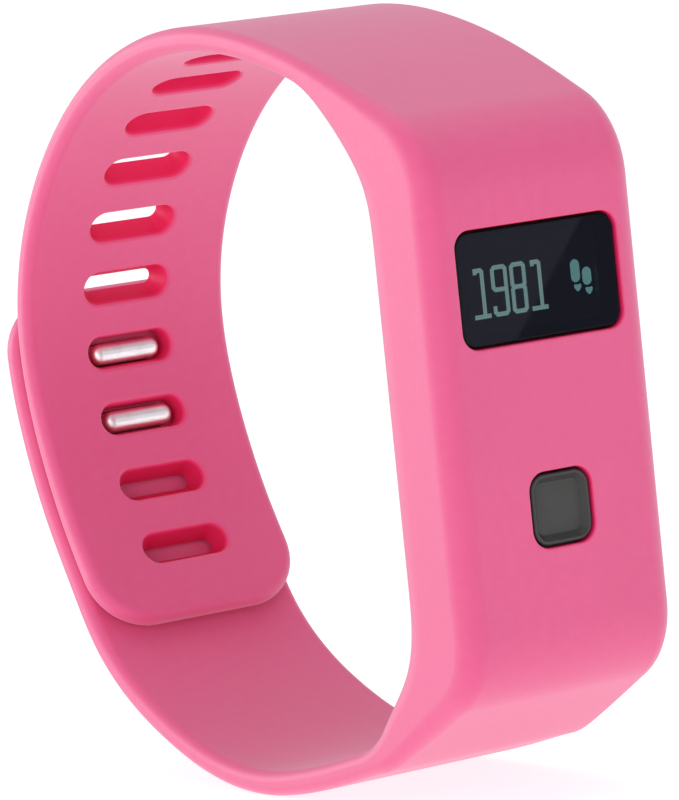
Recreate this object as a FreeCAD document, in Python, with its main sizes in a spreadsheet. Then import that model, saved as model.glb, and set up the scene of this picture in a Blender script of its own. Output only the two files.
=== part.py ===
"""Fitness tracker band: a silicone wristband with a removable tracker module and a two-peg clasp.

Row frame, millimetres: +X out of the display face, +Y across the band, +Z up along the head.
The origin is the centre of the wrist opening, half way across the band's width.
"""
import FreeCAD, Part
import math
import os
import re

import Sketcher
from FreeCAD import Vector

os.makedirs("parts", exist_ok=True)
doc = FreeCAD.newDocument("fitness_band")

# ---------------------------------------------------------------------------
# Driving dimensions, in millimetres and degrees
# ---------------------------------------------------------------------------
DIMENSIONS = {
    # silicone band
    "band_width": 21.7,
    "strap_thick": 2.2,
    "layer_gap": 0.2,
    "face_x": 38.0,
    "face_top": 17.5,
    "face_bottom": -18.3,
    "top_bend": 8.0,
    "top_turn": 66,
    "bottom_bend": 7.5,
    "bottom_turn": 61,
    "wrist_x": 28.8,
    "wrist_top": 15.0,
    "wrist_bottom": -16.0,
    "strap_edge": 0.9,
    "strap_corner": 5.5,
    # adjustment slots
    "slot_count": 10,
    "slot_pitch": 6.63,
    "first_slot": 66.8,
    "slot_length": 8.8,
    "slot_width": 2.8,
    # lengths along the slotted strap's outer line, counted from the middle of the face
    "slot_strap_full": 41.0,
    "slot_strap_bend": 90.0,
    "clasp_strap_bend": 125.3,
    "clasp_strap_tip": 100.9,
    # the clasp strap thickens into the head over this length of its outer line
    "clasp_strap_root": 15.5,
    # clasp
    "clasp_mid_x": -27.22,
    "clasp_mid_z": -0.15,
    "clasp_tilt": 9.35,
    "peg_pitch": 6.3,
    "peg_length": 7.2,
    "peg_width": 1.9,
    "peg_tip": -0.75,
    "peg_reach": 4.0,
    "peg_fit": 0.06,
    "peg_round": 0.5,
    "peg_seat": 0.5,
    "plate_length": 11.6,
    "plate_width": 9.4,
    "plate_thick": 0.9,
    "plate_corner": 2.2,
    "plate_round": 0.35,
    "plate_gap": 0.15,
    # openings in the face of the band
    "window_width": 16.5,
    "window_height": 9.84,
    "window_corner": 1.5,
    "window_z": 9.95,
    "button_open": 6.35,
    "button_corner": 1.6,
    "button_z": -8.9,
    # tracker module's case
    "module_width": 17.4,
    "module_length": 39.8,
    "module_z": -0.4,
    "module_front": 36.9,
    "module_back": 28.2,
    "module_corner": 3.0,
    "front_round": 1.6,
    "rear_round": 1.2,
    "pocket_fit": 0.1,
    "split_x": 30.4,
    "wall": 1.0,
    "tongue_fit": 0.05,
    "tongue": 0.6,
    "tongue_rise": 1.0,
    "seal_inset": 0.3,
    "seal_width": 0.5,
    "seal_thick": 0.3,
    "seal_fit": 0.01,
    # display
    "lens_gap": 0.13,
    "lens_fit": 0.03,
    "lens_seat": 36.5,
    "lens_front": 37.7,
    "lens_round": 0.25,
    "tape_thick": 0.1,
    "aperture_width": 13.4,
    "aperture_height": 7.8,
    "aperture_corner": 0.6,
    "panel_width": 14.5,
    "panel_height": 9.2,
    "panel_thick": 1.2,
    "holder_width": 15.3,
    "holder_height": 10.8,
    "holder_thick": 2.05,
    "holder_corner": 0.8,
    "holder_slack": 0.05,
    "cable_width": 9.0,
    "cable_thick": 0.12,
    "cable_gap": 0.8,
    # circuit board
    "board_front": 33.8,
    "board_thick": 0.8,
    "board_width": 14.6,
    "board_length": 36.6,
    "board_corner": 2.0,
    "capacitor_width": 0.6,
    "capacitor_length": 1.1,
    "capacitor_rise": 0.55,
    # battery
    "cell_width": 12.0,
    "cell_length": 24.0,
    "cell_thick": 3.0,
    "cell_back": 29.35,
    "cell_z": -3.0,
    "cell_corner": 1.2,
    "cell_round": 0.6,
    "foam_width": 9.0,
    "foam_length": 18.0,
    "foam_thick": 0.55,
    "foam_corner": 0.8,
    # vibration motor
    "motor_radius": 4.0,
    "motor_thick": 2.8,
    "motor_back": 29.3,
    "motor_z": 13.6,
    "motor_wall": 0.25,
    "cover_fit": 0.02,
    "rotor_radius": 3.4,
    "rotor_inset": 0.55,
    "rotor_flat": 0.9,
    "spindle_radius": 0.4,
    "running_fit": 0.05,
    # button and switch
    "cap_size": 5.9,
    "cap_corner": 1.4,
    "cap_front": 37.8,
    "cap_fit": 0.05,
    "cap_bevel": 0.62,
    "flange_size": 7.0,
    "flange_corner": 1.6,
    "flange_front": 35.45,
    "flange_back": 35.0,
    "gasket_size": 7.8,
    "gasket_corner": 2.0,
    "gasket_thick": 0.4,
    "switch_width": 3.6,
    "switch_height": 3.0,
    "switch_thick": 0.8,
    "well_radius": 1.0,
    "well_floor": 0.15,
    "dome_radius": 0.95,
    "dome_thick": 0.15,
    "plunger_radius": 0.75,
    "plunger_start": 0.65,
    # charging contacts
    "contact_z": -17.3,
    "contact_pitch": 2.6,
    "pin_radius": 0.6,
    "pin_head_radius": 1.0,
    "pin_fit": 0.06,
    "pin_back": 28.3,
    "pin_step": 28.75,
    "pin_end": 30.5,
    "leaf_width": 0.9,
    "leaf_thick": 0.12,
}
sheet = doc.addObject("Spreadsheet::Sheet", "Sheet")
for row, (alias, value) in enumerate(DIMENSIONS.items(), start=1):
    sheet.set(f"A{row}", alias)
    sheet.set(f"B{row}", str(value))
    sheet.setAlias(f"B{row}", alias)
doc.recompute()

SUB_PARTS = []


def dim(alias):
    """A driving dimension's value, read from the sheet."""
    return float(sheet.get(alias))


def formula(text):
    """An expression in millimetres, from one that names the sheet's cells by their aliases alone."""
    return "(" + re.sub(r"[a-z_]+", lambda alias: "Sheet." + alias.group(0), text) + ") * 1mm"


# ---------------------------------------------------------------------------
# Helpers for pieces built up in layers along X, each from a sketch parallel to the display face
# ---------------------------------------------------------------------------
def new_body(label):
    body = doc.addObject("PartDesign::Body", label)
    body.Label = label
    body.Placement = FreeCAD.Placement()
    SUB_PARTS.append(body)
    return body


def face_sketch(body, name, x):
    """A sketch parallel to the display face, at the distance x from the origin."""
    sketch = body.newObject("Sketcher::SketchObject", name)
    plane = next(f for f in body.Origin.OriginFeatures if f.Role == "YZ_Plane")
    sketch.AttachmentSupport = [(plane, "")]
    sketch.MapMode = "FlatFace"
    sketch.setExpression(".AttachmentOffset.Base.z", formula(x))
    return sketch


def add_datum(sketch, constraint, expression):
    """Add a constraint with a size, and bind the size to the sheet."""
    number = sketch.addConstraint(constraint)
    sketch.setExpression(f"Constraints[{number}]", formula(expression))


def draw_rectangle(sketch, width, height, corner, y, z):
    """A rectangle centred on (y, z), with round corners unless corner is None. All sizes are expressions."""
    # rough lines to start from, which the constraints then bring to size
    half_w, half_h, radius = 4, 3, 1
    inset = radius if corner else 0
    ends = [
        (Vector(-half_w + inset, -half_h, 0), Vector(half_w - inset, -half_h, 0)),
        (Vector(half_w, -half_h + inset, 0), Vector(half_w, half_h - inset, 0)),
        (Vector(half_w - inset, half_h, 0), Vector(-half_w + inset, half_h, 0)),
        (Vector(-half_w, half_h - inset, 0), Vector(-half_w, -half_h + inset, 0)),
    ]
    sides = [sketch.addGeometry(Part.LineSegment(a, b)) for a, b in ends]
    add = sketch.addConstraint
    if corner:
        signs = [(1, -1), (1, 1), (-1, 1), (-1, -1)]
        arcs = []
        for i, (right, up) in enumerate(signs):
            centre = Vector(right * (half_w - inset), up * (half_h - inset), 0)
            start = (i - 1) * math.pi / 2
            rough = Part.ArcOfCircle(Part.Circle(centre, Vector(0, 0, 1), radius), start, start + math.pi / 2)
            arcs.append(sketch.addGeometry(rough))
        for i in range(4):
            add(Sketcher.Constraint("Tangent", sides[i], 2, arcs[i], 1))
            add(Sketcher.Constraint("Tangent", arcs[i], 2, sides[(i + 1) % 4], 1))
        for i in range(1, 4):
            add(Sketcher.Constraint("Equal", arcs[0], arcs[i]))
        add_datum(sketch, Sketcher.Constraint("Radius", arcs[0], radius), corner)
    else:
        for i in range(4):
            add(Sketcher.Constraint("Coincident", sides[i], 2, sides[(i + 1) % 4], 1))
    for i in (0, 2):
        add(Sketcher.Constraint("Horizontal", sides[i]))
        add(Sketcher.Constraint("Vertical", sides[i + 1]))
    # the four sides' distances from the sketch's axes place and size the rectangle
    for side, axis, expression, rough in (
        (sides[1], "DistanceX", f"({y}) + ({width}) / 2", half_w),
        (sides[3], "DistanceX", f"({y}) - ({width}) / 2", -half_w),
        (sides[2], "DistanceY", f"({z}) + ({height}) / 2", half_h),
        (sides[0], "DistanceY", f"({z}) - ({height}) / 2", -half_h),
    ):
        add_datum(sketch, Sketcher.Constraint(axis, side, 1, rough), expression)


def draw_circle(sketch, radius, y, z):
    ring = sketch.addGeometry(Part.Circle(Vector(1, 1, 0), Vector(0, 0, 1), 1))
    add_datum(sketch, Sketcher.Constraint("Radius", ring, 1), radius)
    add_datum(sketch, Sketcher.Constraint("DistanceX", ring, 3, 1), y)
    add_datum(sketch, Sketcher.Constraint("DistanceY", ring, 3, 1), z)


def rectangle(width, height, corner, y="0", z="0"):
    return draw_rectangle, (width, height, corner, y, z)


def circle(radius, y="0", z="0"):
    return draw_circle, (radius, y, z)


def case_outline(inset="0"):
    """The module's outline, set in all round by a distance."""
    return rectangle(
        f"module_width - 2 * ({inset})", f"module_length - 2 * ({inset})", f"module_corner - ({inset})",
        "0", "module_z",
    )


def window_outline(inset):
    """The face window's outline, set in all round by a distance."""
    return rectangle(
        f"window_width - 2 * ({inset})", f"window_height - 2 * ({inset})", f"window_corner - ({inset})",
        "0", "window_z",
    )


def aperture_outline():
    """The part of the window that the display shows through."""
    return rectangle("aperture_width", "aperture_height", "aperture_corner", "0", "window_z")


def button_outline(size, corner):
    """A square round-cornered outline about the button's centre."""
    return rectangle(size, size, corner, "0", "button_z")


def layer(body, name, kind, outlines, x_from, x_to):
    """Pad or pocket the outlines between two distances from the origin, given as expressions."""
    sketch = face_sketch(body, name + "_outline", x_from)
    for draw, sizes in outlines:
        draw(sketch, *sizes)
    feature = body.newObject("PartDesign::" + kind, name)
    feature.Profile = sketch
    feature.setExpression("Length", formula(f"({x_to}) - ({x_from})"))
    if kind == "Pocket":
        feature.Reversed = True
    sketch.Visibility = False
    return feature


def plate(label, outline, x_from, x_to):
    """A sub-part that is one pad."""
    body = new_body(label)
    layer(body, label + "_pad", "Pad", [outline], x_from, x_to)


def rim_edges(base, at_x):
    """The names of the edges that lie in the plane x = at_x."""
    doc.recompute()
    names = []
    for number, edge in enumerate(base.Shape.Edges, start=1):
        box = edge.BoundBox
        if abs(box.XMin - at_x) < 1e-4 and abs(box.XMax - at_x) < 1e-4:
            names.append(f"Edge{number}")
    return names


def round_rim(body, base, radius, at_x):
    """Round the rim of a body's front or back face."""
    feature = body.newObject("PartDesign::Fillet", body.Label + "_" + radius)
    feature.Base = (base, rim_edges(base, at_x))
    feature.setExpression("Radius", formula(radius))


def add_shape(label, shape):
    """A sub-part from a shape that Part's own functions made."""
    feature = doc.addObject("Part::Feature", label)
    feature.Label = label
    feature.Shape = shape
    feature.Placement = FreeCAD.Placement()
    SUB_PARTS.append(feature)


# ---------------------------------------------------------------------------
# Silicone band: the line of its profile in the plane y = 0
# ---------------------------------------------------------------------------
def flat(x, z):
    return Vector(x, 0, z)


def heading(degrees):
    return flat(math.cos(math.radians(degrees)), math.sin(math.radians(degrees)))


def angle_of(vector):
    return math.degrees(math.atan2(vector.z, vector.x))


def spline(points, start_heading, end_heading):
    curve = Part.BSplineCurve()
    curve.interpolate(Points=points, InitialTangent=heading(start_heading), FinalTangent=heading(end_heading))
    return curve


def start_of(curve):
    return curve.value(curve.FirstParameter)


def end_of(curve):
    return curve.value(curve.LastParameter)


def at_length(curve, length, lead):
    """Point, direction of travel and outward normal at a length. The curve starts at the length lead."""
    u = curve.parameterAtDistance(length - lead, curve.FirstParameter)
    travel = Vector(*curve.tangent(u)[0]).normalize()
    return curve.value(u), travel, Vector(0, 1, 0).cross(travel)


def heading_at(curve, length, lead):
    return angle_of(at_length(curve, length, lead)[1])


def beside(curve, lead, start, end, count, distance):
    """Evenly spaced points outside part of a curve, or towards the wrist where the distance is negative."""
    result = []
    for index in range(count + 1):
        point, _, outward = at_length(curve, start + index * (end - start) / count, lead)
        result.append(point + outward * distance)
    return result


def parallel(curve, lead, start, end, count, distance):
    """A curve parallel to part of another, with the same headings at its ends."""
    points = beside(curve, lead, start, end, count, distance)
    return spline(points, heading_at(curve, start, lead), heading_at(curve, end, lead))


thick = dim("strap_thick")
top_turn = dim("top_turn")
bottom_turn = dim("bottom_turn")
top_centre = flat(dim("face_x") - dim("top_bend"), dim("face_top"))
bottom_centre = flat(dim("face_x") - dim("bottom_bend"), dim("face_bottom"))
top_bend_end = top_centre + heading(top_turn) * dim("top_bend")
bottom_bend_end = bottom_centre + heading(-bottom_turn) * dim("bottom_bend")

# outer line of the slotted strap, from the head's top bend round to its free end
slot_outer = spline(
    [
        top_bend_end, flat(20.9, 29.8), flat(5.3, 32.9), flat(-10.3, 29.9), flat(-22.8, 20.2),
        flat(-28.75, 5.6), flat(-25.4, -9.8), flat(-19.0, -21.6),
    ],
    90 + top_turn, 301,
)
LEAD = dim("face_top") + math.radians(top_turn) * dim("top_bend")
slot_end = LEAD + slot_outer.length()
strap_full = dim("slot_strap_full")
slot_inner = parallel(slot_outer, LEAD, strap_full, slot_end, 14, -thick)

# the clasp strap's outer line is parallel to the slotted strap's where they overlap, then runs on to the head
over = dim("layer_gap") + thick
tip = dim("clasp_strap_tip")
clasp_outer = spline(
    beside(slot_outer, LEAD, tip, slot_end, 5, over)
    + [flat(-9.6, -31.0), flat(6.2, -34.0), flat(21.8, -30.9), bottom_bend_end],
    heading_at(slot_outer, tip, LEAD), 90 - bottom_turn,
)
root_start = clasp_outer.length() - dim("clasp_strap_root")
clasp_inner = parallel(clasp_outer, 0, 0, root_start, 14, -thick)

# wrist side of the head: flat behind the tracker, then easing into each strap
wrist_top = flat(dim("wrist_x"), dim("wrist_top"))
wrist_bottom = flat(dim("wrist_x"), dim("wrist_bottom"))
ease_top = spline(
    [start_of(slot_inner), flat(24.2, 24.6), flat(27.6, 20.2), wrist_top],
    heading_at(slot_outer, strap_full, LEAD) + 180, -90,
)
ease_bottom = spline(
    [wrist_bottom, flat(27.7, -21.4), flat(24.6, -25.5), end_of(clasp_inner)],
    -90, heading_at(clasp_outer, root_start, 0) + 180,
)


def band_profile():
    """Closed outline of the whole band in the plane y = 0."""
    face = Part.LineSegment(flat(dim("face_x"), dim("face_bottom")), flat(dim("face_x"), dim("face_top")))
    top_middle = top_centre + heading(top_turn / 2) * dim("top_bend")
    bottom_middle = bottom_centre + heading(-bottom_turn / 2) * dim("bottom_bend")
    lines = [
        face,
        Part.Arc(face.EndPoint, top_middle, top_bend_end),
        slot_outer,
        Part.LineSegment(end_of(slot_outer), end_of(slot_inner)),
        slot_inner,
        ease_top,
        Part.LineSegment(wrist_top, wrist_bottom),
        ease_bottom,
        clasp_inner,
        Part.LineSegment(start_of(clasp_inner), start_of(clasp_outer)),
        clasp_outer,
        Part.Arc(bottom_bend_end, bottom_middle, face.StartPoint),
    ]
    return Part.Wire(Part.__sortEdges__([line.toShape() for line in lines]))


# ---------------------------------------------------------------------------
# Silicone band: solids
# ---------------------------------------------------------------------------
def on_side(edge):
    """True for an edge that lies in one of the band's two flat sides."""
    box = edge.BoundBox
    return box.YLength < 1e-3 and abs(abs(box.YMin) - dim("band_width") / 2) < 1e-3


def band_blank():
    """The whole band as one solid, with round strap ends and softened long edges."""
    width = dim("band_width")
    blank = Part.Face(band_profile()).extrude(Vector(0, width, 0))
    blank.translate(Vector(0, -width / 2, 0))
    tips = [end_of(slot_outer), end_of(slot_inner), start_of(clasp_inner), start_of(clasp_outer)]
    corners = []
    for edge in blank.Edges:
        ends = [flat(vertex.X, vertex.Z) for vertex in edge.Vertexes]
        if on_side(edge) and all(min(end.distanceToPoint(t) for t in tips) < 1e-3 for end in ends):
            corners.append(edge)
    blank = blank.makeFillet(dim("strap_corner"), corners)
    return blank.makeFillet(dim("strap_edge"), [edge for edge in blank.Edges if on_side(edge)])


def stadium(centre, travel, outward, length, width, inward_reach, outward_reach):
    """A slot-shaped block through a strap: its length runs across the band and its width along the strap."""
    base = centre - outward * inward_reach
    half = Vector(0, (length - width) / 2, 0)
    bulge = Vector(0, length / 2, 0)
    side = travel * (width / 2)
    edges = [
        Part.LineSegment(base + half + side, base - half + side),
        Part.Arc(base - half + side, base - bulge, base - half - side),
        Part.LineSegment(base - half - side, base + half - side),
        Part.Arc(base + half - side, base + bulge, base + half + side),
    ]
    face = Part.Face(Part.Wire([edge.toShape() for edge in edges]))
    return face.extrude(outward * (inward_reach + outward_reach))


def rounded_prism(width, height, corner, z, x_from, x_to):
    """A round-cornered block along X, centred across the band."""
    block = Part.makeBox(x_to - x_from, width, height, Vector(x_from, -width / 2, z - height / 2))
    return block.makeFillet(corner, [edge for edge in block.Edges if edge.BoundBox.XLength > 1e-6])


def half_space(point, direction):
    """A block, larger than the band, on the side of the point that the direction shows."""
    size = 2 * dim("face_x")
    block = Part.makeBox(size, size, size, Vector(-size / 2, -size / 2, 0))
    block.Placement = FreeCAD.Placement(point, FreeCAD.Rotation(Vector(0, 0, 1), direction))
    return block


def inside_gap():
    """The space on the wrist side of the gap between the two straps."""
    start, reach = dim("slot_strap_bend") - 6, 9
    line = parallel(slot_outer, LEAD, start, slot_end, 8, dim("layer_gap") / 2)
    inward_start = at_length(slot_outer, start, LEAD)[2] * -reach
    _, travel, outward = at_length(slot_outer, slot_end, LEAD)
    past_tip = end_of(line) + travel * 1.5
    corners = [
        end_of(line), past_tip, past_tip - outward * reach, flat(0, 0),
        start_of(line) + inward_start, start_of(line),
    ]
    edges = [line.toShape()] + [Part.LineSegment(a, b).toShape() for a, b in zip(corners[:-1], corners[1:])]
    width = 2 * dim("band_width")
    zone = Part.Face(Part.Wire(Part.__sortEdges__(edges))).extrude(Vector(0, width, 0))
    zone.translate(Vector(0, -width / 2, 0))
    return zone


# the clasp's own frame: its pegs lie across the band, and push inwards through both straps
tilt = 180 + dim("clasp_tilt")
clasp_out = heading(tilt)
clasp_up = heading(tilt - 90)
clasp_mid = flat(dim("clasp_mid_x"), dim("clasp_mid_z"))
peg_tip = dim("peg_tip")
peg_root = peg_tip + dim("peg_reach")
plate_seat = peg_root - dim("peg_seat")


def plate_block(grow, thickness):
    """The clasp's outer plate as a block on its seat, or its recess in the strap when grown."""
    width = dim("plate_width") + 2 * grow
    length = dim("plate_length") + 2 * grow
    block = Part.makeBox(width, length, thickness, Vector(-width / 2, -length / 2, 0))
    upright = [edge for edge in block.Edges if edge.BoundBox.ZLength > thickness / 2]
    block = block.makeFillet(dim("plate_corner") + grow, upright)
    turn = FreeCAD.Rotation(Vector(0, 1, 0), clasp_up, clasp_out, "ZXY")
    block.Placement = FreeCAD.Placement(clasp_mid + clasp_out * plate_seat, turn)
    return block


def peg_blocks(grow, low, high):
    """One block per peg, between two distances along the clasp's axis."""
    length = dim("peg_length") + 2 * grow
    width = dim("peg_width") + 2 * grow
    centres = [clasp_mid + clasp_up * (side * dim("peg_pitch") / 2) for side in (1, -1)]
    return [stadium(centre, clasp_up, clasp_out, length, width, -low, high) for centre in centres]


def edges_at(shape, distance):
    """The edges that lie at one distance along the clasp's axis."""
    def off_level(vertex):
        return abs((vertex.Point - clasp_mid).dot(clasp_out) - distance)
    return [edge for edge in shape.Edges if all(off_level(vertex) < 1e-3 for vertex in edge.Vertexes)]


band = band_blank()
for index in range(int(dim("slot_count"))):
    point, travel, outward = at_length(slot_outer, dim("first_slot") + index * dim("slot_pitch"), LEAD)
    band = band.cut(stadium(
        point, travel, outward, dim("slot_length"), dim("slot_width"), 1.3 * thick, dim("layer_gap") / 2
    ))

# each strap bends about a line: the slotted one on its wrist side, the clasp one on its outer side
bend_point, slot_travel, slot_outward = at_length(slot_outer, dim("slot_strap_bend"), LEAD)
slot_pivot = bend_point - slot_outward * thick
bend_point, clasp_travel, clasp_outward = at_length(slot_outer, dim("clasp_strap_bend"), LEAD)
clasp_pivot = bend_point + clasp_outward * over

inner_zone = inside_gap()
slot_strap = band.common(inner_zone).common(half_space(slot_pivot, slot_travel))
slot_strap = max(slot_strap.Solids, key=lambda solid: solid.Volume)
clasp_strap = band.cut(inner_zone).common(half_space(clasp_pivot, clasp_travel * -1))
clasp_strap = min(clasp_strap.Solids, key=lambda solid: solid.CenterOfMass.x)
sleeve = band.cut(slot_strap).cut(clasp_strap)

# recess and two holes for the clasp, each cut a strap's thickness past the surfaces
clasp_strap = clasp_strap.cut(plate_block(dim("plate_gap"), 2 * thick))
for hole in peg_blocks(dim("peg_fit"), peg_tip - thick, peg_root + thick):
    clasp_strap = clasp_strap.cut(hole)

# the tracker's pocket, open on the wrist side, and the face's two openings into it
fit = dim("pocket_fit")
pocket_front = dim("module_front") + fit / 2
pocket = rounded_prism(
    dim("module_width") + 2 * fit, dim("module_length") + 2 * fit, dim("module_corner") + fit,
    dim("module_z"), dim("wrist_x") / 2, pocket_front,
)
pocket_rim = [edge for edge in pocket.Edges if edge.BoundBox.XMin > pocket_front - 1e-3]
pocket = pocket.makeFillet(dim("front_round") - fit, pocket_rim)
window = rounded_prism(
    dim("window_width"), dim("window_height"), dim("window_corner"), dim("window_z"),
    dim("split_x"), dim("face_x") + 1,
)
button_hole = rounded_prism(
    dim("button_open"), dim("button_open"), dim("button_corner"), dim("button_z"),
    dim("split_x"), dim("face_x") + 1,
)
sleeve = sleeve.cut(pocket).cut(window).cut(button_hole)

add_shape("band_sleeve", sleeve)
add_shape("slot_strap_end", slot_strap)
add_shape("clasp_strap_end", clasp_strap)

# ---------------------------------------------------------------------------
# Clasp: a metal plate outside the strap, with two pegs riveted into it
# ---------------------------------------------------------------------------
clasp_plate = plate_block(0, dim("plate_thick"))
plate_rim = edges_at(clasp_plate, plate_seat + dim("plate_thick"))
clasp_plate = clasp_plate.makeFillet(dim("plate_round"), plate_rim)
pegs = peg_blocks(0, peg_tip, peg_root)
for block in pegs:
    clasp_plate = clasp_plate.cut(block)
add_shape("clasp_plate", clasp_plate)
add_shape("clasp_pegs", Part.makeCompound([
    block.makeFillet(dim("peg_round"), edges_at(block, peg_tip)) for block in pegs
]))

# ---------------------------------------------------------------------------
# Tracker module: a two-part case with a rubber seal between its halves
# ---------------------------------------------------------------------------
FRONT_INSIDE = "module_front - wall"
SEAL_OUTLINES = [case_outline("seal_inset"), case_outline("seal_inset + seal_width")]

front_case = new_body("front_case")
front_block = layer(front_case, "front_block", "Pad", [case_outline()], "split_x", "module_front")
round_rim(front_case, front_block, "front_round", dim("module_front"))
layer(front_case, "front_hollow", "Pocket", [case_outline("wall")], "split_x", FRONT_INSIDE)
layer(front_case, "front_seal_groove", "Pocket", SEAL_OUTLINES, "split_x", "split_x + seal_thick / 2")
layer(front_case, "lens_recess", "Pocket", [window_outline("lens_gap - lens_fit")], "lens_seat", "face_x")
layer(front_case, "display_aperture", "Pocket", [aperture_outline()], "board_front", "face_x")
layer(
    front_case, "button_hole", "Pocket", [button_outline("cap_size + 2 * cap_fit", "cap_corner + cap_fit")],
    "board_front", "face_x",
)

rear_case = new_body("rear_case")
rear_block = layer(rear_case, "rear_block", "Pad", [case_outline()], "module_back", "split_x")
round_rim(rear_case, rear_block, "rear_round", dim("module_back"))
layer(
    rear_case, "rear_tongue", "Pad", [case_outline("wall + tongue_fit")], "split_x", "split_x + tongue_rise"
)
layer(
    rear_case, "rear_hollow", "Pocket", [case_outline("wall + tongue_fit + tongue")],
    "module_back + wall", "split_x + 2 * tongue_rise",
)
layer(rear_case, "rear_seal_groove", "Pocket", SEAL_OUTLINES, "split_x - seal_thick / 2", "split_x")
CONTACT_STEPS = (-1.5, -0.5, 0.5, 1.5)
contact_places = [(f"{step} * contact_pitch", "contact_z") for step in CONTACT_STEPS]
layer(
    rear_case, "contact_holes", "Pocket", [circle("pin_radius + pin_fit", y, z) for y, z in contact_places],
    "module_back - wall", "module_back + 2 * wall",
)
layer(
    rear_case, "contact_counterbores", "Pocket",
    [circle("pin_head_radius + pin_fit", y, z) for y, z in contact_places], "module_back - wall", "pin_step",
)

case_seal = new_body("case_seal")
layer(
    case_seal, "seal_ring", "Pad",
    [case_outline("seal_inset + seal_fit"), case_outline("seal_inset + seal_width - seal_fit")],
    "split_x - seal_thick / 2", "split_x + seal_thick / 2",
)

# ---------------------------------------------------------------------------
# Display, behind a lens that is taped into the case
# ---------------------------------------------------------------------------
display_lens = new_body("display_lens")
lens_plate = layer(
    display_lens, "lens_plate", "Pad", [window_outline("lens_gap")], "lens_seat + tape_thick", "lens_front"
)
round_rim(display_lens, lens_plate, "lens_round", dim("lens_front"))

lens_tape = new_body("lens_tape")
layer(
    lens_tape, "tape_frame", "Pad", [window_outline("lens_gap"), aperture_outline()],
    "lens_seat", "lens_seat + tape_thick",
)

PANEL_BACK = FRONT_INSIDE + " - panel_thick"
HOLDER_BACK = FRONT_INSIDE + " - holder_thick"
plate("oled_panel", rectangle("panel_width", "panel_height", None, "0", "window_z"), PANEL_BACK, FRONT_INSIDE)
display_holder = new_body("display_holder")
layer(
    display_holder, "holder_frame", "Pad",
    [
        rectangle("holder_width", "holder_height", "holder_corner", "0", "window_z"),
        rectangle("panel_width + 2 * holder_slack", "panel_height + 2 * holder_slack", None, "0", "window_z"),
    ],
    HOLDER_BACK, FRONT_INSIDE,
)
layer(
    display_holder, "holder_cable_gap", "Pocket",
    [rectangle("cable_width + 0.4", "2 * cable_gap", None, "0", "window_z - holder_height / 2")],
    HOLDER_BACK, FRONT_INSIDE + " - panel_thick / 2",
)

# ---------------------------------------------------------------------------
# Circuit board and what is soldered to its front
# ---------------------------------------------------------------------------
BOARD_BACK = "board_front - board_thick"
plate(
    "main_board", rectangle("board_width", "board_length", "board_corner", "0", "module_z"),
    BOARD_BACK, "board_front",
)

# label: width, height, centre's y and z, and rise above the board
CHIPS = {
    "bluetooth_chip": (4.6, 4.6, -3.4, 0.0, 0.9),
    "memory_chip": (3.0, 2.6, 2.2, 1.6, 0.8),
    "accelerometer": (2.4, 2.4, 2.2, -2.0, 0.9),
    "clock_crystal": (1.6, 3.2, 5.6, 0.3, 0.8),
    "charger_chip": (3.0, 3.0, -3.4, -15.2, 0.9),
    "chip_antenna": (7.0, 1.8, 2.6, -17.2, 1.2),
}
for label, (width, height, y, z, rise) in CHIPS.items():
    outline = rectangle(str(width), str(height), None, str(y), str(z))
    plate(label, outline, "board_front", f"board_front + {rise}")

CAPACITOR_PLACES = [
    (-6.3, 2.6), (-6.3, 0.4), (-6.3, -1.8), (4.2, -0.2),
    (4.6, -3.4), (0.2, -14.0), (-5.9, -13.4), (6.0, -14.6),
]
board_capacitors = new_body("board_capacitors")
layer(
    board_capacitors, "capacitor_blocks", "Pad",
    [rectangle("capacitor_width", "capacitor_length", None, str(y), str(z)) for y, z in CAPACITOR_PLACES],
    "board_front", "board_front + capacitor_rise",
)

# ---------------------------------------------------------------------------
# Battery and vibration motor, behind the board
# ---------------------------------------------------------------------------
CELL_FRONT = "cell_back + cell_thick"
battery_cell = new_body("battery_cell")
cell_block = layer(
    battery_cell, "cell_block", "Pad", [rectangle("cell_width", "cell_length", "cell_corner", "0", "cell_z")],
    "cell_back", CELL_FRONT,
)
round_rim(battery_cell, cell_block, "cell_round", dim("cell_back"))
plate(
    "battery_foam", rectangle("foam_width", "foam_length", "foam_corner", "0", "cell_z"),
    CELL_FRONT, CELL_FRONT + " + foam_thick",
)

MOTOR_FRONT = "motor_back + motor_thick"
motor_can = new_body("motor_can")
layer(motor_can, "can_block", "Pad", [circle("motor_radius", "0", "motor_z")], "motor_back", MOTOR_FRONT)
layer(
    motor_can, "can_hollow", "Pocket", [circle("motor_radius - motor_wall", "0", "motor_z")],
    "motor_back + motor_wall", MOTOR_FRONT,
)
plate(
    "motor_cover", circle("motor_radius - motor_wall - cover_fit", "0", "motor_z"),
    MOTOR_FRONT + " - motor_wall", MOTOR_FRONT,
)
plate(
    "motor_spindle", circle("spindle_radius", "0", "motor_z"),
    "motor_back + motor_wall", MOTOR_FRONT + " - motor_wall",
)
# the rotor's weight is a disc with one side cut away, so that it is out of balance
motor_rotor = new_body("motor_rotor")
rotor_back, rotor_front = "motor_back + rotor_inset", MOTOR_FRONT + " - rotor_inset"
layer(motor_rotor, "rotor_disc", "Pad", [circle("rotor_radius", "0", "motor_z")], rotor_back, rotor_front)
layer(
    motor_rotor, "rotor_bore", "Pocket", [circle("spindle_radius + running_fit", "0", "motor_z")],
    rotor_back, rotor_front,
)
layer(
    motor_rotor, "rotor_cut", "Pocket",
    [rectangle("2 * motor_radius", "motor_radius", None, "0", "motor_z + rotor_flat + motor_radius / 2")],
    rotor_back, rotor_front,
)

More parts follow.
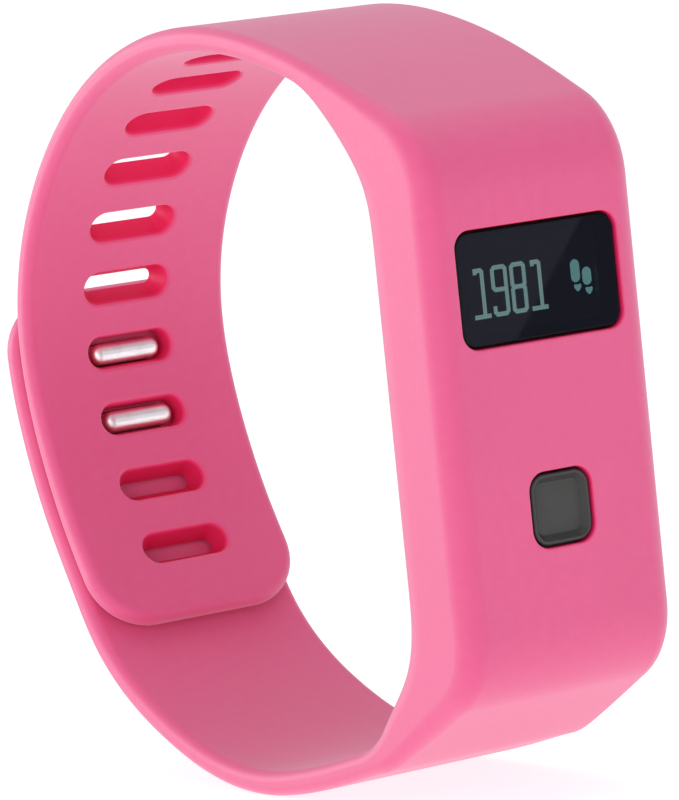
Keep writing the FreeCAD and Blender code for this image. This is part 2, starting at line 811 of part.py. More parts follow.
# ---------------------------------------------------------------------------
# Button and its switch
# ---------------------------------------------------------------------------
button_cap = new_body("button_cap")
layer(
    button_cap, "cap_flange", "Pad", [button_outline("flange_size", "flange_corner")],
    "flange_back", "flange_front",
)
cap_block = layer(
    button_cap, "cap_block", "Pad", [button_outline("cap_size", "cap_corner")], "flange_front", "cap_front"
)
bevel = button_cap.newObject("PartDesign::Chamfer", "cap_bevel_cut")
bevel.Base = (cap_block, rim_edges(cap_block, dim("cap_front")))
bevel.setExpression("Size", formula("cap_bevel"))

button_gasket = new_body("button_gasket")
layer(
    button_gasket, "gasket_ring", "Pad",
    [
        button_outline("gasket_size", "gasket_corner"),
        button_outline("cap_size + 2 * cap_fit", "cap_corner + cap_fit"),
    ],
    FRONT_INSIDE + " - gasket_thick", FRONT_INSIDE,
)

SWITCH_FLOOR = "board_front + well_floor"
switch_base = new_body("switch_base")
layer(
    switch_base, "switch_block", "Pad", [rectangle("switch_width", "switch_height", None, "0", "button_z")],
    "board_front", "board_front + switch_thick",
)
layer(
    switch_base, "switch_well", "Pocket", [circle("well_radius", "0", "button_z")],
    SWITCH_FLOOR, "board_front + switch_thick",
)
plate("switch_dome", circle("dome_radius", "0", "button_z"), SWITCH_FLOOR, SWITCH_FLOOR + " + dome_thick")
plate(
    "switch_plunger", circle("plunger_radius", "0", "button_z"),
    "board_front + plunger_start", "flange_back",
)

# ---------------------------------------------------------------------------
# Charging contacts: gold pins in the back, each with a leaf spring up to the board
# ---------------------------------------------------------------------------
charging_pins = new_body("charging_pins")
shanks = [circle("pin_radius", y, z) for y, z in contact_places]
heads = [circle("pin_head_radius", y, z) for y, z in contact_places]
layer(charging_pins, "pin_shanks", "Pad", shanks, "pin_step", "pin_end")
layer(charging_pins, "pin_heads", "Pad", heads, "pin_back", "pin_step")


def strip(outline, width, y):
    """A thin strip as a solid: its bent outline in a plane of constant y, extruded and centred on y."""
    near_side = [point + Vector(0, y - width / 2, 0) for point in outline]
    return Part.Face(Part.makePolygon(near_side + [near_side[0]])).extrude(Vector(0, width, 0))


board_front = dim("board_front")
board_back = board_front - dim("board_thick")

leaf = dim("leaf_thick")
leaf_low = dim("contact_z") - dim("pin_radius")
leaf_high = leaf_low + 1.7
leaf_outline = [
    flat(dim("pin_end"), leaf_low), flat(dim("pin_end"), leaf_high),
    flat(board_back, leaf_high), flat(board_back, leaf_low),
    flat(board_back - leaf, leaf_low), flat(board_back - leaf, leaf_high - leaf),
    flat(dim("pin_end") + leaf, leaf_high - leaf), flat(dim("pin_end") + leaf, leaf_low),
]
add_shape("contact_springs", Part.makeCompound([
    strip(leaf_outline, dim("leaf_width"), step * dim("contact_pitch")) for step in CONTACT_STEPS
]))

# the display's flat cable folds down from the panel's back to the board
film = dim("cable_thick")
panel_back = dim("module_front") - dim("wall") - dim("panel_thick")
fold_z = dim("window_z") - dim("panel_height") / 2 - 0.5
cable_outline = [
    flat(panel_back, fold_z + 1.7), flat(panel_back, fold_z), flat(board_front + film, fold_z),
    flat(board_front + film, fold_z - 1.1), flat(board_front, fold_z - 1.1), flat(board_front, fold_z + film),
    flat(panel_back - film, fold_z + film), flat(panel_back - film, fold_z + 1.7),
]
add_shape("oled_flex_cable", strip(cable_outline, dim("cable_width"), 0))

# ---------------------------------------------------------------------------
# Wires from the battery and the motor up to the board
# ---------------------------------------------------------------------------
def wire_along(points, radius):
    """A round wire through the points, with its corners rounded by tangent arcs."""
    edges = []
    start = points[0]
    for before, here, after in zip(points[:-2], points[1:-1], points[2:]):
        to_before = (before - here).normalize()
        to_after = (after - here).normalize()
        half_turn = (math.pi - to_before.getAngle(to_after)) / 2
        reach = 0.45 * min((before - here).Length, (after - here).Length)
        bend = reach / math.tan(half_turn)
        inwards = (to_before + to_after).normalize()
        first, last = here + to_before * reach, here + to_after * reach
        middle = here + inwards * (bend / math.cos(half_turn) - bend)
        edges.append(Part.LineSegment(start, first).toShape())
        edges.append(Part.Arc(first, middle, last).toShape())
        start = last
    edges.append(Part.LineSegment(start, points[-1]).toShape())
    section = Part.Wire([Part.Circle(points[0], (points[1] - points[0]).normalize(), radius).toShape()])
    return Part.Wire(edges).makePipeShell([section], True, False, 1)


BATTERY_WIRE_RADIUS = 0.22
MOTOR_WIRE_RADIUS = 0.2
PAD_Y = 5.6
cell_top = dim("cell_z") + dim("cell_length") / 2
motor_z = dim("motor_z")
battery_wires = []
motor_wires = []
for side in (-1, 1):
    battery_route = [
        Vector(31.0, side * 3.0, cell_top), Vector(31.0, side * 3.9, cell_top + 1.1),
        Vector(31.7, side * 5.2, cell_top + 1.9), Vector(board_back, side * PAD_Y, cell_top + 2.2),
    ]
    battery_wires.append(wire_along(battery_route, BATTERY_WIRE_RADIUS))
    motor_route = [
        Vector(30.4, side * 2.9, motor_z + 2.95), Vector(30.5, side * 4.3, motor_z + 3.3),
        Vector(31.4, side * 5.2, motor_z + 2.9), Vector(board_back, side * PAD_Y, motor_z + 2.2),
    ]
    motor_wires.append(wire_along(motor_route, MOTOR_WIRE_RADIUS))
add_shape("battery_wires", Part.makeCompound(battery_wires))
add_shape("motor_wires", Part.makeCompound(motor_wires))

# ---------------------------------------------------------------------------
# Check every object, then write one file per sub-part
# ---------------------------------------------------------------------------
doc.recompute()
for item in doc.Objects:
    if "Invalid" in item.State or "Error" in item.State:
        raise RuntimeError(f"{item.Label} failed to build: {item.State}")
for pocket_feature in doc.findObjects("PartDesign::Pocket"):
    removed = pocket_feature.BaseFeature.Shape.Volume - pocket_feature.Shape.Volume
    if removed < 1e-3:
        raise RuntimeError(f"{pocket_feature.Label} removes nothing")
for item in SUB_PARTS:
    if item.Shape.isNull() or not item.Shape.isValid() or item.Shape.Volume <= 0:
        raise RuntimeError(f"{item.Label} is not a valid solid")
for item in SUB_PARTS:
    item.Shape.exportStep(f"parts/{item.Label}.step")
    print(f"{item.Label}: {item.Shape.Volume:.2f} mm3, {len(item.Shape.Solids)} solid(s)")
print("slotted strap bends about", slot_pivot)
print("clasp strap bends about", clasp_pivot)
print("clasp pulls along", clasp_out)
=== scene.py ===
"""Fitness tracker band: the looks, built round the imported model. Lengths are in mm until a mesh is made."""

import math

import bpy
import numpy as np
from mathutils import Matrix, Vector
from mathutils.geometry import delaunay_2d_cdt


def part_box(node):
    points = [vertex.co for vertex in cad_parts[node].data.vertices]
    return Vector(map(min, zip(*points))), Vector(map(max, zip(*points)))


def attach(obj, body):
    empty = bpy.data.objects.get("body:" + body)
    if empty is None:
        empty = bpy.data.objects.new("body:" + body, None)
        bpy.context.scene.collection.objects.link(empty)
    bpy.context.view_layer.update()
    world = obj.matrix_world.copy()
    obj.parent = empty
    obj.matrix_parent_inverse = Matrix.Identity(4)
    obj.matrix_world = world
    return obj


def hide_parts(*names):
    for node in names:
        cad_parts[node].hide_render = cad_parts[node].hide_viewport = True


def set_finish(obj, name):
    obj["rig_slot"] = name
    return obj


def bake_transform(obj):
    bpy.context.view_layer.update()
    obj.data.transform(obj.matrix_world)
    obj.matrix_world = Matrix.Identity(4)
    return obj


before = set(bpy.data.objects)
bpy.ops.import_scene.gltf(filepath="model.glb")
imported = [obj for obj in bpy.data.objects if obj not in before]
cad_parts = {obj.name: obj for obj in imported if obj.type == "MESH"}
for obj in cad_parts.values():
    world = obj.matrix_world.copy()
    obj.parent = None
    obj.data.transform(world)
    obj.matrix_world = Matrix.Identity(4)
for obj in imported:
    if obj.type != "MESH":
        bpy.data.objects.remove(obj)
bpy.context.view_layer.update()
MM = 0.001


def box_mm(node):
    """Lowest and highest corner of a CAD node, in millimetres."""
    low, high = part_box(node)
    return np.array(low) / MM, np.array(high) / MM


# ---- Sizes ----
sleeve_low, sleeve_high = box_mm("band_sleeve")
lens_low, lens_high = box_mm("display_lens")
case_low, case_high = box_mm("front_case")
HALF_WIDTH = sleeve_high[1]
FACE_X = sleeve_high[0]
STRAP_THICK = 2.2
LAYER_GAP = 0.2
WRIST_X = 28.8

# head: the face's ends, and the bends into the straps as (radius, turn in degrees)
FACE_TOP, FACE_BOTTOM = 17.5, -18.3
TOP_BEND = (8.0, 66)
BOTTOM_BEND = (7.5, 61)

# points (x, z) that the straps pass after the bends, and that the head's wrist side passes before its flat
SLOT_STRAP_VIA = [
    (20.9, 29.8), (5.3, 32.9), (-10.3, 29.9), (-22.8, 20.2), (-28.75, 5.6), (-25.4, -9.8), (-19.0, -21.6),
]
SLOT_STRAP_LAST = 301
CLASP_STRAP_VIA = [(-9.6, -31.0), (6.2, -34.0), (21.8, -30.9)]
TOP_EASE_VIA = [(24.2, 24.6), (27.6, 20.2), (WRIST_X, 15)]
BOTTOM_EASE_VIA = [(WRIST_X, -16), (27.7, -21.4), (24.6, -25.5)]

# the rounded long edges, as (width across the band, depth into it), on the head and on the straps
HEAD_OUTER_EDGE = (2.2, 2.2)
HEAD_WRIST_EDGE = (1.45, 2.8)
STRAP_EDGE = (0.95, 0.95)
EDGE_EASE_TOP, EDGE_EASE_BOTTOM, EDGE_EASE_LONG = 16, -17, 26
STRAP_CORNER = 5.5

# adjustment slots: lips on the outer and the wrist side, and how far a free and a pegged slot narrow outwards
SLOT_COUNT = 10
SLOT_PITCH = 6.63
FIRST_SLOT = 66.8
SLOT_SIZE = (2.8, 8.8)
SLOT_LIPS = (0.3, 0.5)
PEG_SLOTS = (6, 7)
SLOT_TAPER = (0.7, 0.1)

# places along the outer line, as lengths from the middle of the face
TOP_ROOT = 41.0
BOTTOM_ROOT_LENGTH = 15.5
CLASP_TIP = 100.9
SLOT_BEND = 90.0
CLASP_BEND = 125.3
TOP_SEAM = 58.0
BOTTOM_SEAM = -62.0

# openings in the face
LENS_GAP = 0.11
WINDOW_SIZE = (lens_high[2] - lens_low[2] + 2 * LENS_GAP, lens_high[1] - lens_low[1] + 2 * LENS_GAP)
WINDOW_Z = (lens_low[2] + lens_high[2]) / 2
WINDOW_CORNER = 1.5
BUTTON_SIZE = (6.35, 6.35)
BUTTON_CORNER = 1.6
BUTTON_Z = -8.9
FACE_LIP = 0.22

# pocket for the tracker, open on the wrist side
POCKET_FIT = 0.1
POCKET_SIZE = (case_high[2] - case_low[2] + 2 * POCKET_FIT, case_high[1] - case_low[1] + 2 * POCKET_FIT)
POCKET_Z = (case_low[2] + case_high[2]) / 2
POCKET_CORNER = 3.1
POCKET_FRONT = case_high[0] + POCKET_FIT / 2
POCKET_ROUND = 1.5
MOUTH_LIP = 0.35

# clasp
CLASP_TILT = 9.35
CLASP_MID = (-27.22, -0.15)
PEG_PITCH = 6.3
PEG_SIZE = (1.9, 7.2)
PEG_FIT = 0.06
PEG_TIP = -0.75
PLATE_SEAT = 2.75
PLATE_SIZE = (11.6, 9.4)
PLATE_GAP = 0.15
PLATE_CORNER = 2.2

# the mesh's spacing, how far along the band a cut looks for its surface, and what keeps a round end flat
STEP = 0.8
NEAR = 24
HAIR = 0.01


# ---- Lines of the band's profile, in the plane y = 0, as rows of (x, z) ----
def heading(degrees):
    return np.array([math.cos(math.radians(degrees)), math.sin(math.radians(degrees))])


def parabola_slope(points, along, at):
    """Slope, at one parameter, of the parabola through the first three points."""
    slope = np.zeros(2)
    for i, j, k in ((0, 1, 2), (1, 2, 0), (2, 0, 1)):
        slope += points[i] * (2 * at - along[j] - along[k]) / ((along[i] - along[j]) * (along[i] - along[k]))
    return slope


def spline(points, start_tangent, end_tangent, samples=3000):
    """Smooth cubic line through the points, with end tangents scaled by a parabola as the CAD kernel does."""
    points = np.array(points, float)
    count = len(points)
    span = np.linalg.norm(np.diff(points, axis=0), axis=1)
    slope = np.diff(points, axis=0) / span[:, None]
    along = np.concatenate([[0], np.cumsum(span)])
    system = np.eye(count)
    right = np.zeros((count, 2))
    for end, tangent in ((0, start_tangent), (-1, end_tangent)):
        steepness = np.abs(parabola_slope(points, along, along[end])).sum()
        right[end] = tangent * steepness / np.abs(tangent).sum()
    for i in range(1, count - 1):
        before, after = 1 / span[i - 1], 1 / span[i]
        system[i, i - 1:i + 2] = before, 2 * (before + after), after
        right[i] = 3 * (slope[i - 1] * before + slope[i] * after)
    tangents = np.linalg.solve(system, right)
    u = np.linspace(0, along[-1], samples)
    i = np.clip(np.searchsorted(along, u, side="right") - 1, 0, count - 2)
    t = ((u - along[i]) / span[i])[:, None]
    width = span[i][:, None]
    return (
        (2 * t**3 - 3 * t**2 + 1) * points[i] + (t**3 - 2 * t**2 + t) * width * tangents[i]
        + (3 * t**2 - 2 * t**3) * points[i + 1] + (t**3 - t**2) * width * tangents[i + 1]
    )


def arc(centre, radius, start, end, samples=400):
    angle = np.radians(np.linspace(start, end, samples))[:, None]
    return np.array(centre) + radius * np.hstack([np.cos(angle), np.sin(angle)])


def lengths(points):
    return np.concatenate([[0], np.cumsum(np.linalg.norm(np.diff(points, axis=0), axis=1))])


def rows_at(s, along, rows):
    """Rows of two numbers, known at the lengths along a line, read at other lengths."""
    return np.stack([np.interp(s, along, rows[:, i]) for i in (0, 1)], axis=-1)


class Line:
    """A line in the profile that can be read at any length s, with the side that its normal points to."""

    def __init__(self, s, points, side):
        self.s, self.points = s, points
        along = np.gradient(points, s, axis=0)
        self.along = along / np.linalg.norm(along, axis=1)[:, None]
        self.side = side

    def at(self, s):
        """Point, unit direction of travel and unit normal, as rows of (x, z)."""
        along = rows_at(s, self.s, self.along)
        along /= np.linalg.norm(along, axis=-1, keepdims=True)
        normal = np.stack([along[..., 1], -along[..., 0]], axis=-1) * self.side
        return rows_at(s, self.s, self.points), along, normal


top_radius, top_turn = TOP_BEND
bottom_radius, bottom_turn = BOTTOM_BEND
top_arc = arc((FACE_X - top_radius, FACE_TOP), top_radius, 0, top_turn)
bottom_arc = arc((FACE_X - bottom_radius, FACE_BOTTOM), bottom_radius, -bottom_turn, 0)

slot_strap = spline([top_arc[-1], *SLOT_STRAP_VIA], heading(90 + top_turn), heading(SLOT_STRAP_LAST))
SLOT_LEAD = FACE_TOP + math.radians(top_turn) * top_radius
SLOT_TIP = SLOT_LEAD + lengths(slot_strap)[-1]
slot_line = Line(SLOT_LEAD + lengths(slot_strap), slot_strap, 1)

shared = np.linspace(CLASP_TIP, SLOT_TIP, 6)
shared_points, shared_along, shared_normal = slot_line.at(shared)
over_slots = shared_points + (LAYER_GAP + STRAP_THICK) * shared_normal
clasp_points = np.vstack([over_slots, CLASP_STRAP_VIA, bottom_arc[:1]])
clasp_strap = spline(clasp_points, shared_along[0], heading(90 - bottom_turn))

face = np.array([(FACE_X, z) for z in np.linspace(FACE_BOTTOM, FACE_TOP, 400)])
outer_points = np.vstack([clasp_strap, bottom_arc[1:], face[1:], top_arc[1:], slot_strap[1:]])
outer_s = lengths(outer_points)
outer_s -= np.interp(0, face[:, 1], outer_s[len(clasp_strap) + len(bottom_arc) - 2 + np.arange(len(face))])
outer = Line(outer_s, outer_points, 1)
STRAP_END = outer_s[0]
BOTTOM_ROOT = FACE_BOTTOM - math.radians(bottom_turn) * bottom_radius - BOTTOM_ROOT_LENGTH

# the wrist side: parallel to the outer line along the straps, and flat behind the tracker
offset = outer.at(outer_s)[0] - STRAP_THICK * outer.at(outer_s)[2]
top_end, bottom_end = (rows_at(s, outer_s, offset) for s in (TOP_ROOT, BOTTOM_ROOT))
top_along, bottom_along = outer.at(TOP_ROOT)[1], outer.at(BOTTOM_ROOT)[1]
top_ease = spline([top_end, *TOP_EASE_VIA], -top_along, heading(-90))
bottom_ease = spline([*BOTTOM_EASE_VIA, bottom_end], heading(-90), -bottom_along)
wrist_path = np.vstack([bottom_ease[::-1], top_ease[::-1]])
wrist_s = BOTTOM_ROOT + lengths(wrist_path) / lengths(wrist_path)[-1] * (TOP_ROOT - BOTTOM_ROOT)
in_head = (outer_s > BOTTOM_ROOT) & (outer_s < TOP_ROOT)
inner_points = offset.copy()
inner_points[in_head] = rows_at(outer_s[in_head], wrist_s, wrist_path)
inner = Line(outer_s, inner_points, -1)


def solid_point(flat, y):
    """Rows of (x, y, z) from rows of (x, z) and a width."""
    return np.stack([flat[..., 0], np.broadcast_to(y, flat.shape[:-1]), flat[..., 1]], axis=-1)


def edge_size(s, head_edge):
    """Width and depth of the rounded edge at each length, easing from the head's to the straps'."""
    top = np.clip((s - EDGE_EASE_TOP) / EDGE_EASE_LONG, 0, 1)
    bottom = np.clip((EDGE_EASE_BOTTOM - s) / EDGE_EASE_LONG, 0, 1)
    away = np.maximum(top, bottom)
    away = away * away * (3 - 2 * away)
    return [head + (strap - head) * away for head, strap in zip(head_edge, STRAP_EDGE)]


# ---- Meshes with their own normals ----
# faces deeper down a hole than this take a shaded copy of the silicone: painted shade
SHADED_HOLE_DEPTH = 0.6


def unit(rows):
    return rows / np.linalg.norm(rows, axis=-1, keepdims=True)


def place_object(name, data):
    made = bpy.data.objects.new(name, data)
    bpy.context.scene.collection.objects.link(made)
    return made


class Skin:
    """Vertices with normals, and with depths from 0 in the open to 1 down a hole, and faces between them."""

    def __init__(self):
        self.points, self.normals, self.depths, self.faces = [], [], [], []

    def add(self, points, normals, depth=0.0):
        points = np.asarray(points, float).reshape(-1, 3)
        first = len(self.points)
        self.points.extend(points)
        self.normals.extend(np.broadcast_to(np.asarray(normals, float), points.shape))
        self.depths.extend([depth] * len(points))
        return list(range(first, first + len(points)))

    def bridge(self, row, other, closed):
        """Quads between two rows of the same length."""
        count = len(row)
        for i in range(count if closed else count - 1):
            j = (i + 1) % count
            self.faces.append((row[i], row[j], other[j], other[i]))

    def bridge_all(self, rows, closed):
        for row, other in zip(rows[:-1], rows[1:]):
            self.bridge(row, other, closed)

    def between(self, row, other, parts, closed):
        """Quads between two rows with straight rows in between. Returns the rows in between."""
        a, b = (np.array([self.points[i] for i in ids]) for ids in (row, other))
        na, nb = (np.array([self.normals[i] for i in ids]) for ids in (row, other))
        depth = max(self.depths[row[0]], self.depths[other[0]])
        steps = np.arange(1, parts) / parts
        middle = [self.add(a + (b - a) * t, unit(na + (nb - na) * t), depth) for t in steps]
        self.bridge_all([row, *middle, other], closed)
        return middle

    def fill(self, border, openings, place, step=STEP):
        """Triangles inside a border and round its openings, each a row and its flat loop.

        place() gives points and normals for extra flat spots in between.
        """
        loops, flat_loops = zip(border, *openings)
        spots = sheet_spots(flat_loops, step)
        ids = sum(loops, []) + self.add(*place(spots))
        coords = [Vector(p) for p in np.vstack([*flat_loops, spots])]
        edges = []
        start = 0
        for loop in loops:
            count = len(loop)
            edges += [(start + i, start + (i + 1) % count) for i in range(count)]
            start += count
        where, _, faces, sources = delaunay_2d_cdt(coords, edges, [], 0, 1e-5)[:4]
        names = [ids[source[0]] for source in sources]
        middles = np.array([
            [sum(where[i][axis] for i in face) / len(face) for axis in (0, 1)] for face in faces
        ])
        keep = among(middles, flat_loops)
        self.faces += [tuple(names[i] for i in face) for face, kept in zip(faces, keep) if kept]

    def copy(self, ids, normal):
        """The same points again, with a normal of their own, for a sharp edge."""
        return self.add(np.array([self.points[i] for i in ids]), normal)

    def build(self, name):
        points, normals = np.array(self.points), np.array(self.normals)
        faces = []
        for face in self.faces:
            corners = points[list(face)]
            spokes = corners[1:] - corners[0]
            facing = np.cross(spokes[:-1], spokes[1:]).sum(0)
            faces.append(face if facing @ normals[list(face)].mean(0) > 0 else face[::-1])
        mesh = bpy.data.meshes.new(name)
        mesh.from_pydata(points * MM, [], faces)
        mesh.polygons.foreach_set("use_smooth", [True] * len(mesh.polygons))
        mesh.normals_split_custom_set_from_vertices(normals.tolist())
        # the depth attribute is also the mask for the painted shade down the holes
        mesh.attributes.new("depth", "FLOAT", "POINT").data.foreach_set("value", self.depths)
        depths = [np.mean([self.depths[i] for i in face]) for face in faces]
        mesh.polygons.foreach_set("material_index", [int(depth > SHADED_HOLE_DEPTH) for depth in depths])
        return place_object(name, mesh)


def inside(points, loop):
    """Which points lie inside a closed loop."""
    a = np.array(loop)
    b = np.roll(a, -1, axis=0)
    x, y = points[:, 0][:, None], points[:, 1][:, None]
    crossing = (a[:, 1] > y) != (b[:, 1] > y)
    with np.errstate(divide="ignore", invalid="ignore"):
        at = a[:, 0] + (y - a[:, 1]) / (b[:, 1] - a[:, 1]) * (b[:, 0] - a[:, 0])
    return (crossing & (x < at)).sum(1) % 2 == 1


def among(points, loops):
    """Which points lie inside the first loop and outside the others."""
    keep = inside(points, loops[0])
    for loop in loops[1:]:
        keep &= ~inside(points, loop)
    return keep


def clear(points, loops, room):
    """Which of those points are also not near any loop."""
    gaps = [np.linalg.norm(points[:, None] - loop[None], axis=2).min(1) for loop in loops]
    return among(points, loops) & (np.min(gaps, axis=0) > room)


def sheet_spots(loops, step):
    """Points to fill a flat shape with: two rings round each opening, and a grid clear of them."""
    rings = [np.zeros((0, 2))]
    for loop in loops[1:]:
        outward = unit(np.roll(loop, -1, axis=0) - np.roll(loop, 1, axis=0)) @ np.array([[0, -1], [1, 0]])
        if inside(loop[:1] + 0.01 * outward[:1], loop)[0]:
            outward = -outward
        rings += [loop[::2] + 0.35 * step * outward[::2], loop[1::2] + 0.9 * step * outward[1::2]]
    rings = np.vstack(rings)
    if len(rings):
        rings = rings[clear(rings, loops, 0.15 * step)]
    low, high = loops[0].min(0), loops[0].max(0)
    across, along = (np.linspace(low[i], high[i], int((high[i] - low[i]) / step) + 2)[1:-1] for i in (0, 1))
    grid = np.array([(a, b) for a in across for b in along])
    grid = grid[clear(grid, loops, 0.5 * step)]
    if len(rings):
        apart = np.linalg.norm(grid[:, None] - rings[None], axis=2).min(1)
        grid = grid[apart > 0.5 * step]
    return np.vstack([rings, grid])


# ---- Silicone band ----
EDGE_PARTS = 7
LIP_PARTS = 4
SIDE_PARTS = 4
QUARTER = math.radians(90)
CEILING_START = math.radians(65)
ALONG_X = (1.0, 0.0)
SURFACES = ((outer, HEAD_OUTER_EDGE), (inner, HEAD_WRIST_EDGE))


def stations(start, end):
    return np.linspace(start, end, int(round(abs(end - start) / STEP)) + 1)


class Edge:
    """A stretch of the band's free outline, as lengths, widths, and normals that point into the band."""

    def __init__(self, rows):
        self.s, self.y, self.inward_s, self.inward_y = np.array(rows, float).T

    def row(self, line, head_edge, angle):
        """A row of the rounded edge, from angle 0 on the sheet to a quarter turn: points, normals, flat."""
        width, depth = edge_size(self.s, head_edge)
        inset = width * (1 - math.sin(angle))
        s, y = self.s + inset * self.inward_s, self.y + inset * self.inward_y
        point, along, normal = line.at(s)
        sunk = point - (depth * (1 - math.cos(angle)))[:, None] * normal
        out = -solid_point(self.inward_s[:, None] * along, self.inward_y)
        up_part = (width * math.cos(angle))[:, None] * solid_point(normal, 0)
        out_part = (depth * math.sin(angle))[:, None] * out
        return solid_point(sunk, y), unit(up_part + out_part), np.stack([s, y], axis=1)


def free_outline(start, end, tip):
    """The free edges between two lengths: both sides, or one edge that goes round the tip."""
    if tip is None:
        return [Edge([(s, side * HALF_WIDTH, 0, -side) for s in stations(start, end)]) for side in (-1, 1)]
    base = start if tip == end else end
    way = math.copysign(1, tip - base)
    corner = tip - way * STRAP_CORNER
    rows = [(s, -HALF_WIDTH, 0, 1) for s in stations(base, corner)[:-1]]
    for angle in np.radians(np.linspace(-90, 0, 13)):
        x, y = way * math.cos(angle), math.sin(angle)
        rows.append((corner + STRAP_CORNER * x, STRAP_CORNER * (y + 1) - HALF_WIDTH, -x, -y))
    rows += [(tip, y, -way, 0) for y in np.linspace(STRAP_CORNER - HALF_WIDTH, 0, 8)[1:]]
    rows += [(s, -y, inward_s, -inward_y) for s, y, inward_s, inward_y in rows[-2::-1]]
    return [Edge(rows)]


def rounded_loop(size, corner, step=0.45, corner_parts=8):
    """A rounded rectangle round the origin as rows of (u, v), with its outward normals."""
    half = np.array(size) / 2 - corner
    signs = ((1, 1), (-1, 1), (-1, -1), (1, -1))
    points, normals = [], []
    for k, sign in enumerate(signs):
        for angle in np.linspace(90 * k, 90 * k + 90, corner_parts + 1):
            points.append(half * sign + corner * heading(angle))
            normals.append(heading(angle))
        last = points[-1]
        run = half * signs[(k + 1) % 4] + corner * heading(90 * k + 90) - last
        parts = int(math.ceil(np.linalg.norm(run) / step))
        points += [last + run * i / parts for i in range(1, parts)]
        normals += [heading(90 * k + 90)] * max(0, parts - 1)
    points, normals = np.array(points), np.array(normals)
    apart = np.linalg.norm(points - np.roll(points, 1, axis=0), axis=1) > 1e-6
    return points[apart], normals[apart]


class Cut:
    """An opening whose walls run straight along one direction in the profile's plane."""

    def __init__(self, origin, out, size, corner, near):
        self.origin, self.out = np.array(origin, float), np.array(out, float)
        self.up = np.array([-self.out[1], self.out[0]])
        self.loop, self.outward = rounded_loop(size, corner)
        self.near = near
        self.wall_normal = -solid_point(self.outward[:, :1] * self.up, self.outward[:, 1])
        self.out_normal = solid_point(self.out, 0)

    def spread(self, across):
        return self.loop + across * self.outward

    def place(self, loop, level):
        """Points in space from rows of (u, v), at a level along the cut's direction."""
        flat = self.origin + loop[:, :1] * self.up + np.reshape(level, (-1, 1)) * self.out
        return solid_point(flat, loop[:, 1])

    def lip(self, skin, lip, facing, meet, taper=0.0):
        """A rounded lip on a surface, for which meet() gives flat rows, levels and normals at rows of (u, v).

        Returns its row on the surface with that row's flat loop, and its row on the wall. A taper narrows the
        opening all round.
        """
        rows, flats = [], []
        for angle in np.linspace(0, QUARTER, LIP_PARTS + 1):
            loop = self.spread(lip * (1 - math.sin(angle)) - taper)
            flat, level, normal = meet(loop)
            points = self.place(loop, level - facing * lip * (1 - math.cos(angle)))
            turned = unit(math.cos(angle) * normal + math.sin(angle) * self.wall_normal)
            rows.append(skin.add(points, turned, angle / QUARTER))
            flats.append(flat)
        skin.bridge_all(rows, True)
        return (rows[0], flats[0]), rows[-1]

    def lip_on(self, skin, line, lip, taper=0.0):
        """A lip on the band's outer or inner surface."""
        part = (line.s > self.near[0]) & (line.s < self.near[1])

        def meet(loop):
            s = np.interp(loop[:, 0], (line.points[part] - self.origin) @ self.up, line.s[part])
            point, _, normal = line.at(s)
            flat = np.stack([s, loop[:, 1]], axis=1)
            return flat, (point - self.origin) @ self.out, solid_point(normal, 0)

        return self.lip(skin, lip, line.side, meet, taper)

    def lip_at(self, skin, floor_cut, surface, lip, facing):
        """A lip on a floor across another cut."""
        shift = [(self.origin - floor_cut.origin) @ self.up, 0]
        return self.lip(skin, lip, facing, lambda loop: (loop + shift, *surface(loop + shift)))

    def floor(self, skin, surface, row, loop, openings, step=STEP):
        """Close a floor inside a row, round its openings. The surface gives levels and normals at (u, v)."""

        def place(spots):
            level, normal = surface(spots)
            return self.place(spots, level), normal

        skin.fill((row, loop), openings, place, step)


def sheet(skin, line, border, openings):
    """Fill the band's outer or inner surface inside its border, round the lips of its openings."""

    def place(spots):
        point, _, normal = line.at(spots[:, 0])
        return solid_point(point, spots[:, 1]), solid_point(normal, 0)

    skin.fill(border, openings, place)


def band_piece(skin, start, end, tip, outer_openings, inner_openings):
    """The rounded edges, sides, sheets and flat seams of a stretch of the band between two lengths."""
    edges = free_outline(start, end, tip)
    columns, borders = [], {outer: [], inner: []}
    for edge in edges:
        rows = {}
        for line, head_edge in SURFACES:
            made = [edge.row(line, head_edge, angle) for angle in np.linspace(0, QUARTER, EDGE_PARTS + 1)]
            rows[line] = [skin.add(points, normals) for points, normals, _ in made]
            skin.bridge_all(rows[line], False)
            borders[line].append((rows[line][0], made[0][2]))
        middle = skin.between(rows[outer][-1], rows[inner][-1], SIDE_PARTS, False)
        columns.append(rows[outer] + middle + rows[inner][::-1])

    seams = {}
    across = np.linspace(-1, 1, 25)[1:-1]
    for at in {start, end} - {tip}:
        seams[at] = {}
        for line, head_edge in SURFACES:
            y = across * (HALF_WIDTH - edge_size(at, head_edge)[0])
            point, _, normal = line.at(np.full(len(y), at))
            row = skin.add(solid_point(point, y), solid_point(normal, 0))
            seams[at][line] = (row, np.stack([y * 0 + at, y], axis=1))

    for line, openings in ((outer, outer_openings), (inner, inner_openings)):
        if tip is None:
            (left, left_flat), (right, right_flat) = borders[line]
            (first, first_flat), (last, last_flat) = seams[start][line], seams[end][line]
            border = left + last + right[::-1] + first[::-1]
            flat = np.vstack([left_flat, last_flat, right_flat[::-1], first_flat[::-1]])
        else:
            ((round_tip, round_flat),) = borders[line]
            ((base, base_flat),) = [seam[line] for seam in seams.values()]
            border = round_tip + base[::-1]
            flat = np.vstack([round_flat, base_flat[::-1]])
        sheet(skin, line, (border, flat), openings)

    for at, seam in seams.items():
        if tip is None:
            number = 0 if at == start else -1
            left, right = ([row[number] for row in column] for column in columns)
        else:
            left, right = ([row[number] for row in columns[0]] for number in (0, -1))
        face_out = solid_point(outer.at(at)[1], 0) * math.copysign(1, at - (start + end) / 2)
        ring = left[::-1] + seam[outer][0] + right + seam[inner][0][::-1]
        skin.faces.append(tuple(skin.copy(ring, face_out)))


def finish_band(skin, name, nodes):
    piece = skin.build(name)
    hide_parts(*nodes)
    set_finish(piece, "silicone_pink")
    return piece


